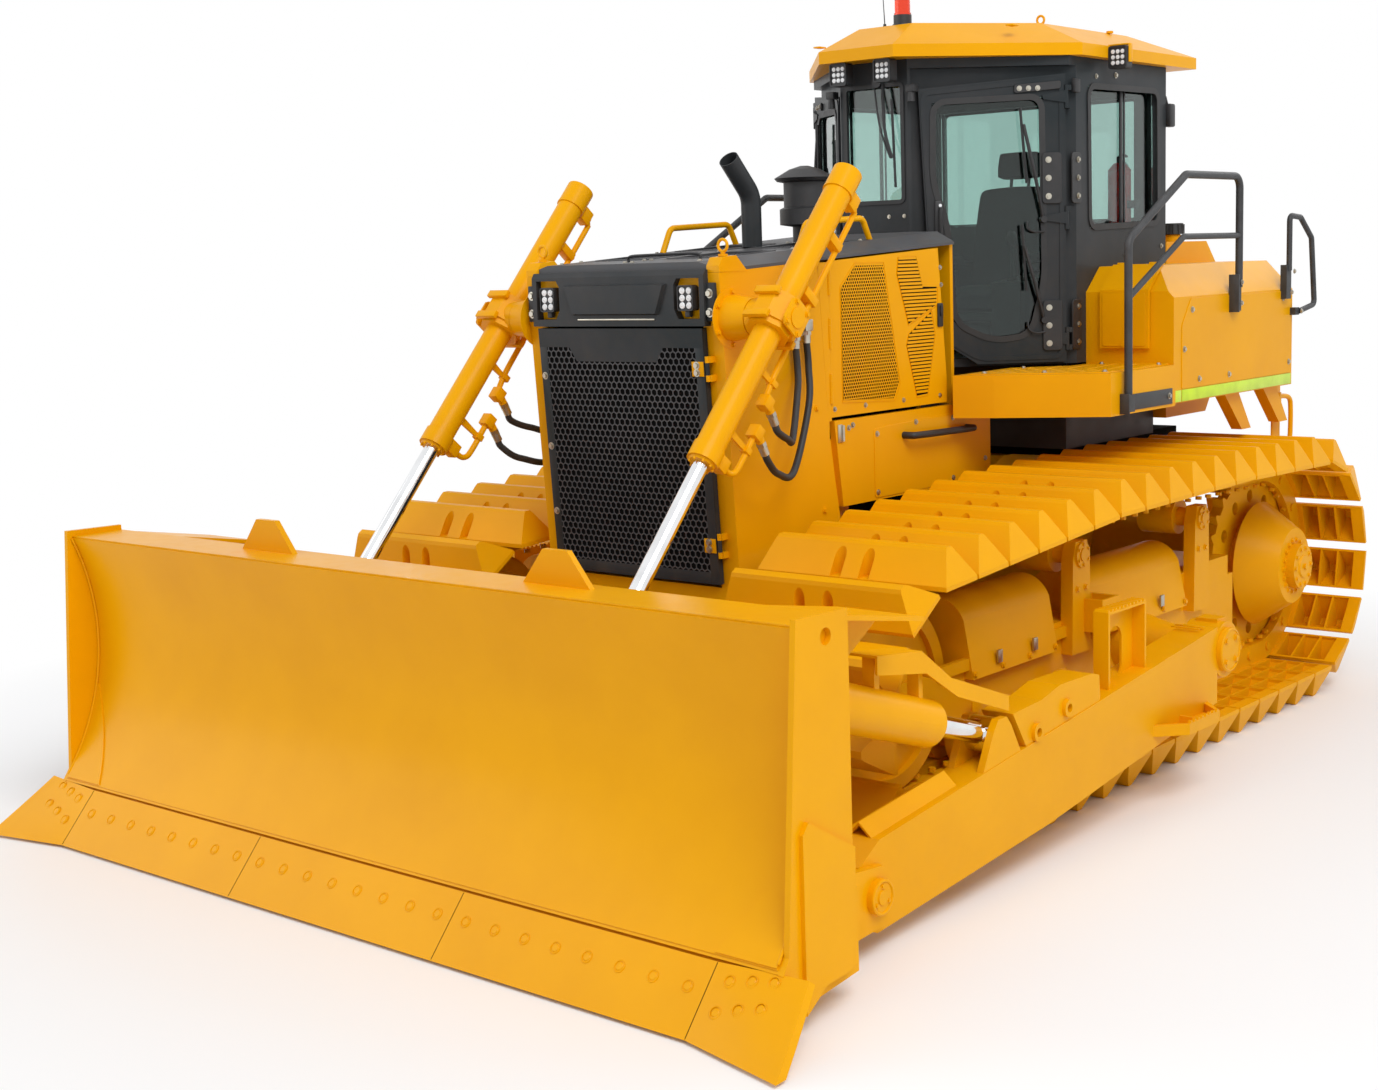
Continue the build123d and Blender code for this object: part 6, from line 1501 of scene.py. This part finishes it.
class DOZER_OT_treads(bpy.types.Operator):
    """Makes the raised tread of the platforms and the toothed treads of the step frames"""
    bl_idname = "dozer.treads"
    bl_label = "Treads"

    def execute(self, context):
        both(self.platform_plates, "platform_plates", "tractor", "body")
        both(self.platform_tread, "platform_tread", "tractor", "body", merge=False)
        both(self.step_teeth, "step_teeth", "blade", "body")
        both(self.bolts, "platform_bolts", "tractor", "zinc")
        return {"FINISHED"}

    def platform_plates(self, bm):
        corners = at_z(1.8252, ((0.640, 0.400), (0.780, 0.450), (1.230, 0.665), (1.230, 1.270),
                                                       (0.860, 1.270), (0.860, 1.090), (0.640, 0.890)))
        panel(bm, corners, Z * 0.004, 0.010, 0.0015)

    def platform_tread(self, bm):
        """Rows of small raised bars, alternate rows turned the other way."""
        for row in range(14):
            y = 0.52 + 0.054 * row
            first_x = 0.66 + max(0.0, y - 0.86) * 0.86
            last_x = min(1.215, 0.70 + (y - 0.45) * 2.0)
            for k in range(max(0, int((last_x - first_x) / 0.054) + 1)):
                turn = Matrix.Rotation(math.radians(45 if (row + k) % 2 else -45), 4, "Z")
                place = Matrix.Translation((first_x + 0.054 * k, y, 1.8298))
                shape = Matrix.Diagonal((2.0, 0.62, 1, 1)) @ Matrix.Rotation(math.pi / 4, 4, "Z")
                bmesh.ops.create_cone(bm, cap_ends=True, segments=4, radius1=0.0100, radius2=0.0065,
                                      depth=0.0024, matrix=place @ turn @ shape)

    def tooth(self, bm, x, y, foot, tip, width):
        corners = [(x, y - 0.010, foot), (x, y + 0.010, foot), (x, y + 0.004, tip), (x, y - 0.004, tip)]
        plate(bm, corners, X * width)

    def step_teeth(self, bm):
        for k in range(11):
            y = -0.330 + 0.031 * k
            self.tooth(bm, 1.716, y, 0.9148, 0.926, 0.064)
        for k in range(8):
            y = 0.130 + 0.036 * k
            self.tooth(bm, 1.912, y, 0.3728, 0.383, 0.014)

    def bolts(self, bm):
        for x, y in ((0.69, 0.47), (0.95, 0.58), (1.20, 0.70), (1.20, 1.24), (0.89, 1.24), (0.67, 0.86)):
            bolt(bm, (x, y, 1.8293), Z, 0.010)


# ---------------------------------------------------------------- blade
FACE_TOP, FACE_MIDDLE, FACE_FOOT = Vector((-2.701, 1.286)), Vector((-2.615, 0.7515)), Vector((-2.829, 0.217))


def face_arc():
    """Centre (y, z) and radius of the moldboard's hollow face."""
    first, second = FACE_MIDDLE - FACE_TOP, FACE_FOOT - FACE_TOP
    cross = 2 * (first.x * second.y - first.y * second.x)
    offset = Vector((second.y * first.length_squared - first.y * second.length_squared,
                     first.x * second.length_squared - second.x * first.length_squared)) / cross
    return FACE_TOP + offset, offset.length


def on_face(x, z, out=0.0):
    """A point on the moldboard's hollow face at a height, a distance out of it."""
    centre, radius = face_arc()
    rise = z - centre.y
    y = centre.x + math.sqrt(radius * radius - rise * rise)
    point = Vector((y, z))
    point += (centre - point).normalized() * out
    return Vector((x, point.x, point.y))


def curved_sheet(bm, low, high, inner, outer, near, far, rows=20):
    """A sheet along the hollow face between two heights; inner and outer are its x limits, foot and head."""
    made = bmesh.ops.create_grid(bm, x_segments=8, y_segments=rows, size=0.5)
    for v in made["verts"]:
        across, up = v.co.x + 0.5, v.co.y + 0.5
        start = inner[0] + (inner[1] - inner[0]) * up
        end = outer[0] + (outer[1] - outer[0]) * up
        v.co = on_face(start + (end - start) * across, low + (high - low) * up, near)
    faces = list({f for v in made["verts"] for f in v.link_faces})
    bmesh.ops.recalc_face_normals(bm, faces=faces)
    if faces[0].normal.y > 0:
        bmesh.ops.reverse_faces(bm, faces=faces)
    bmesh.ops.solidify(bm, geom=faces, thickness=near - far)


class DOZER_OT_blade_face(bpy.types.Operator):
    """Makes the face sheet, corner wear plates, edge bolts and pin caps of the blade"""
    bl_idname = "dozer.blade_face"
    bl_label = "Blade face"

    HALF = 1.990
    SEGMENT = 1.174

    def execute(self, context):
        single(self.face, "blade_face", "blade", "blade", crease=60)
        both(self.wear, "blade_wear_plates", "blade", "blade")
        both(self.welds, "blade_welds", "blade", "blade")
        single(self.edge_rings, "edge_bolt_rings", "blade", "blade")
        single(self.edge_heads, "edge_bolt_heads", "blade", "blade")
        single(self.edge_seams, "edge_seams", "blade", "dark")
        both(self.pin_caps, "arm_pin_caps", "blade", "body")
        both(self.rear_bolts, "blade_rear_bolts", "blade", "body")
        return {"FINISHED"}

    def face(self, bm):
        curved_sheet(bm, 0.226, 1.279, (-self.HALF, -self.HALF), (self.HALF, self.HALF), 0.0005, 0.0042)

    def wear(self, bm):
        corner = self.HALF - 0.250
        curved_sheet(bm, 0.230, 0.620, (corner, self.HALF - 0.015), (self.HALF - 0.002, self.HALF - 0.002),
                     0.0040, 0.0100, 8)

    def welds(self, bm):
        tube(bm, [on_face(self.HALF - 0.001, 0.24 + 0.052 * k, 0.009) for k in range(21)], 0.0055, 8, 1)

    def columns_along(self):
        for segment in (-1, 0, 1):
            for k in range(8):
                yield self.SEGMENT * (segment - 0.5 + (k + 0.5) / 8)

    def edge_point(self, x, share, out=0.0):
        return EDGE_FOOT.lerp(EDGE_TOP, share) + X * x + EDGE_OUT * out

    def tip_points(self):
        """Bolt places on the swept end bits."""
        for x, share in ((1.835, 0.42), (1.915, 0.52), (1.995, 0.60), (1.835, 0.80), (1.915, 0.86),
                         (1.995, 0.90)):
            sweep = (x - self.SEGMENT * 1.5) / (2.193 - self.SEGMENT * 1.5)
            foot = EDGE_FOOT.lerp(Vector((0, -3.100, 0.011)), sweep)
            top = EDGE_TOP.lerp(Vector((0, -2.815, 0.222)), sweep)
            place = foot.lerp(top, share)
            yield Vector((x, place.y, place.z))

    def edge_rings(self, bm):
        places = [self.edge_point(x, 0.62) for x in self.columns_along()]
        places += [Vector((side * p.x, p.y, p.z)) for p in self.tip_points() for side in (-1, 1)]
        for place in places:
            eye_ring(bm, place + EDGE_OUT * 0.0008, EDGE_OUT, 0.0205, 0.0022, 6, 16)

    def edge_heads(self, bm):
        places = [self.edge_point(x, 0.62) for x in self.columns_along()]
        places += [Vector((side * p.x, p.y, p.z)) for p in self.tip_points() for side in (-1, 1)]
        for place in places:
            bar(bm, place - EDGE_OUT * 0.001, place + EDGE_OUT * 0.0025, 0.0165, 16, 0.0120)

    # Thin near-black strips where the cutting-edge segments meet: painted shade in the gaps.
    def edge_seams(self, bm):
        for x in (-1.5, -0.5, 0.5, 1.5):
            centre = self.SEGMENT * x
            corners = [self.edge_point(centre + a, b, 0.0002) for a, b in
                       rectangle(-0.0013, 0.02, 0.0013, 0.99)]
            plate(bm, corners, EDGE_OUT * 0.0004)

    def pin_caps(self, bm):
        eye_ring(bm, (1.867, -2.089, 0.225), X, 0.058, 0.006, 8, 32)
        bar(bm, (1.860, -2.089, 0.225), (1.872, -2.089, 0.225), 0.030, 24, 0.026)
        for k in range(3):
            turn = math.radians(90 + 120 * k)
            bolt(bm, (1.866, -2.089 + 0.040 * math.cos(turn), 0.225 + 0.040 * math.sin(turn)), X, 0.008)

    def rear_bolts(self, bm):
        for k in range(8):
            x = 0.10 + 0.235 * k
            bar(bm, (x, -2.790, 0.120), (x, -2.765, 0.105), 0.018, 6)


# ---------------------------------------------------------------- undercarriage
class DOZER_OT_undercarriage(bpy.types.Operator):
    """Makes the bolts, caps, seams and latches of the track frames, carriers, drives and cylinders"""
    bl_idname = "dozer.undercarriage"
    bl_label = "Undercarriage"

    COVERS = ((-0.675, -0.020), (0.320, 1.235))

    def execute(self, context):
        both(self.carrier_caps, "carrier_caps", "tractor", "body")
        both(self.cover_bolts, "recoil_cover_bolts", "tractor", "body")
        both(self.cover_latches, "recoil_cover_latches", "tractor", "zinc")
        both(self.drive_bolts, "final_drive_bolts", "tractor", "body", merge=False)
        both(self.trunnion_bolts, "arm_trunnion_bolts", "blade", "body")
        both(self.tilt_bolts, "tilt_flange_bolts", "blade", "body")
        both(self.arm_welds, "arm_weld_bars", "blade", "body")
        both(self.frame_plates, "track_frame_plates", "tractor", "body")
        both(self.guards, "roller_guard_bolts", "tractor", "body")
        return {"FINISHED"}

    def carrier_caps(self, bm):
        for y, z in ((0.190, 1.0527), (1.390, 1.0677)):
            bar(bm, (1.356, y, z), (1.372, y, z), 0.062, 32, 0.058)
            bar(bm, (1.372, y, z), (1.378, y, z), 0.030, 20)
            for k in range(6):
                turn = math.radians(60 * k + 30)
                bolt(bm, (1.372, y + 0.046 * math.cos(turn), z + 0.046 * math.sin(turn)), X, 0.0075)
            for dy in (-0.036, 0.036):
                bolt(bm, (1.361, y + dy, z - 0.150), X, 0.012)

    def cover_bolts(self, bm):
        for y0, y1 in self.COVERS:
            count = max(3, round((y1 - y0) / 0.17))
            for k in range(count):
                y = y0 + (y1 - y0) * k / (count - 1)
                bolt(bm, (1.3485, y, 0.672), X, 0.011)

    def cover_latches(self, bm):
        for y0, y1 in self.COVERS:
            for share in (0.28, 0.72):
                y = y0 + (y1 - y0) * share
                slab(bm, (1.3480, y - 0.018, 0.690), (1.3600, y + 0.018, 0.745), 0.003)

    def drive_bolts(self, bm):
        centre = Vector((0, 2.350, 0.695))
        for count, ring, x, head in ((18, 0.140, 1.430, 0.0105), (10, 0.098, 1.480, 0.010)):
            for k in range(count):
                turn = 2 * math.pi * k / count
                bolt(bm, centre + Vector((x, ring * math.cos(turn), ring * math.sin(turn))), X, head)
        bar(bm, centre + X * 1.480, centre + X * 1.489, 0.062, 32, 0.056)
        bar(bm, centre + X * 1.489, centre + X * 1.500, 0.016, 6)

    def trunnion_bolts(self, bm):
        centre = Vector((1.8375, 0.700, 0.580))
        for k in range(4):
            turn = math.radians(45 + 90 * k)
            bolt(bm, centre + Vector((0, 0.070 * math.cos(turn), 0.070 * math.sin(turn))), X, 0.012)
        eye_ring(bm, centre, X, 0.094, 0.005, 8, 32)

    TILT_FOOT, TILT_AHEAD = Vector((1.7325, -2.330, 0.946)), Vector((0, 0.9526, -0.3044))

    def tilt_bolts(self, bm):
        side = Vector((0, 0.3044, 0.9526))
        end = self.TILT_FOOT + self.TILT_AHEAD * 0.760
        for k in range(8):
            turn = 2 * math.pi * (k + 0.5) / 8
            place = end + (X * math.cos(turn) + side * math.sin(turn)) * 0.068
            bar(bm, place - self.TILT_AHEAD * 0.004, place + self.TILT_AHEAD * 0.008, 0.010, 6)

    def arm_welds(self, bm):
        for y in (0.505, 0.545):
            slab(bm, (1.640, y - 0.006, 0.700), (1.780, y + 0.006, 0.706), 0.002)

    def frame_plates(self, bm):
        for y in (-0.64, 0.02, 0.98):
            slab(bm, (1.3400, y - 0.055, 0.500), (1.3485, y + 0.055, 0.560), 0.003)

    def guards(self, bm):
        for k in range(9):
            y = -0.62 + 0.31 * k
            bolt(bm, (1.3485, y, 0.330), X, 0.012)


class DOZER_OT_track_bolts(bpy.types.Operator):
    """Makes the four bolts of every track shoe, which stand on its inner side"""
    bl_idname = "dozer.track_bolts"
    bl_label = "Track shoe bolts"

    SHOES = 43
    IDLER, IDLER_RADIUS = Vector((-1.117, 0.645)), 0.441
    SPROCKET, SPROCKET_RADIUS = Vector((2.350, 0.695)), 0.491
    CARRIERS = (Vector((0.190, 1.191)), Vector((1.390, 1.206)))
    TRACK_CENTRE = 1.145
    HEAD_FOOT, HEAD_HEIGHT, HEAD_RADIUS = 0.066, 0.016, 0.016
    BOLTS_ACROSS, BOLTS_ALONG = (-0.068, 0.068), (-0.060, 0.060)

    def execute(self, context):
        both(self.heads, "shoe_bolts", "tractor", "track", merge=False)
        return {"FINISHED"}

    def path(self):
        """Closed line of the chain pins (y, z), from under the sprocket forward and round."""
        points = [Vector((self.SPROCKET.x, self.SPROCKET.y - self.SPROCKET_RADIUS)),
                  Vector((self.IDLER.x, self.IDLER.y - self.IDLER_RADIUS))]
        steps = 64
        for k in range(1, steps + 1):
            turn = math.radians(270 - 170 * k / steps)
            points.append(self.IDLER + Vector((math.cos(turn), math.sin(turn))) * self.IDLER_RADIUS)
        points += self.CARRIERS
        for k in range(steps + 1):
            turn = math.radians(92 - 182 * k / steps)
            points.append(self.SPROCKET + Vector((math.cos(turn), math.sin(turn))) * self.SPROCKET_RADIUS)
        return points

    def heads(self, bm):
        points = self.path()
        spans = [(b - a).length for a, b in zip(points, points[1:])]
        total = sum(spans)
        for shoe in range(self.SHOES):
            left = total * shoe / self.SHOES
            k = 0
            while left > spans[k]:
                left -= spans[k]
                k += 1
            heading = (points[k + 1] - points[k]).normalized()
            place = points[k] + heading * left
            ahead, inward = Vector((0, heading.x, heading.y)), Vector((0, -heading.y, heading.x)) * -1
            for across in self.BOLTS_ACROSS:
                for along in self.BOLTS_ALONG:
                    foot = Vector((self.TRACK_CENTRE + across, place.x, place.y)) + ahead * along
                    foot += inward * self.HEAD_FOOT
                    bar(bm, foot, foot + inward * self.HEAD_HEIGHT, self.HEAD_RADIUS, 6)


OPERATORS = [
    DOZER_OT_stage, DOZER_OT_finishes, DOZER_OT_grille, DOZER_OT_nose, DOZER_OT_engine_doors, DOZER_OT_hood,
    DOZER_OT_side_covers, DOZER_OT_lift_fittings, DOZER_OT_cab_doors, DOZER_OT_cab_trim, DOZER_OT_seat,
    DOZER_OT_fender_trim, DOZER_OT_treads, DOZER_OT_blade_face, DOZER_OT_undercarriage, DOZER_OT_track_bolts,
]


class DOZER_PT_panel(bpy.types.Panel):
    """Lists the pieces and their settings"""
    bl_idname = "DOZER_PT_panel"
    bl_label = "Crawler bulldozer"
    bl_space_type = "VIEW_3D"
    bl_region_type = "UI"
    bl_category = "Bulldozer"

    def draw(self, context):
        for name, group in GROUPS.items():
            box = self.layout.box()
            for label in group.__annotations__:
                box.prop(getattr(context.scene, name), label)
        for operator in OPERATORS:
            self.layout.operator(operator.bl_idname)


def register():
    for made in (*GROUPS.values(), *OPERATORS, DOZER_PT_panel):
        bpy.utils.register_class(made)
    for name, group in GROUPS.items():
        setattr(bpy.types.Scene, name, bpy.props.PointerProperty(type=group))


def unregister():
    for name in GROUPS:
        delattr(bpy.types.Scene, name)
    for made in reversed((*GROUPS.values(), *OPERATORS, DOZER_PT_panel)):
        bpy.utils.unregister_class(made)


def main():
    register()
    for operator in OPERATORS:
        getattr(bpy.ops.dozer, operator.bl_idname.split(".")[1])()


if __name__ == "__main__":
    main()
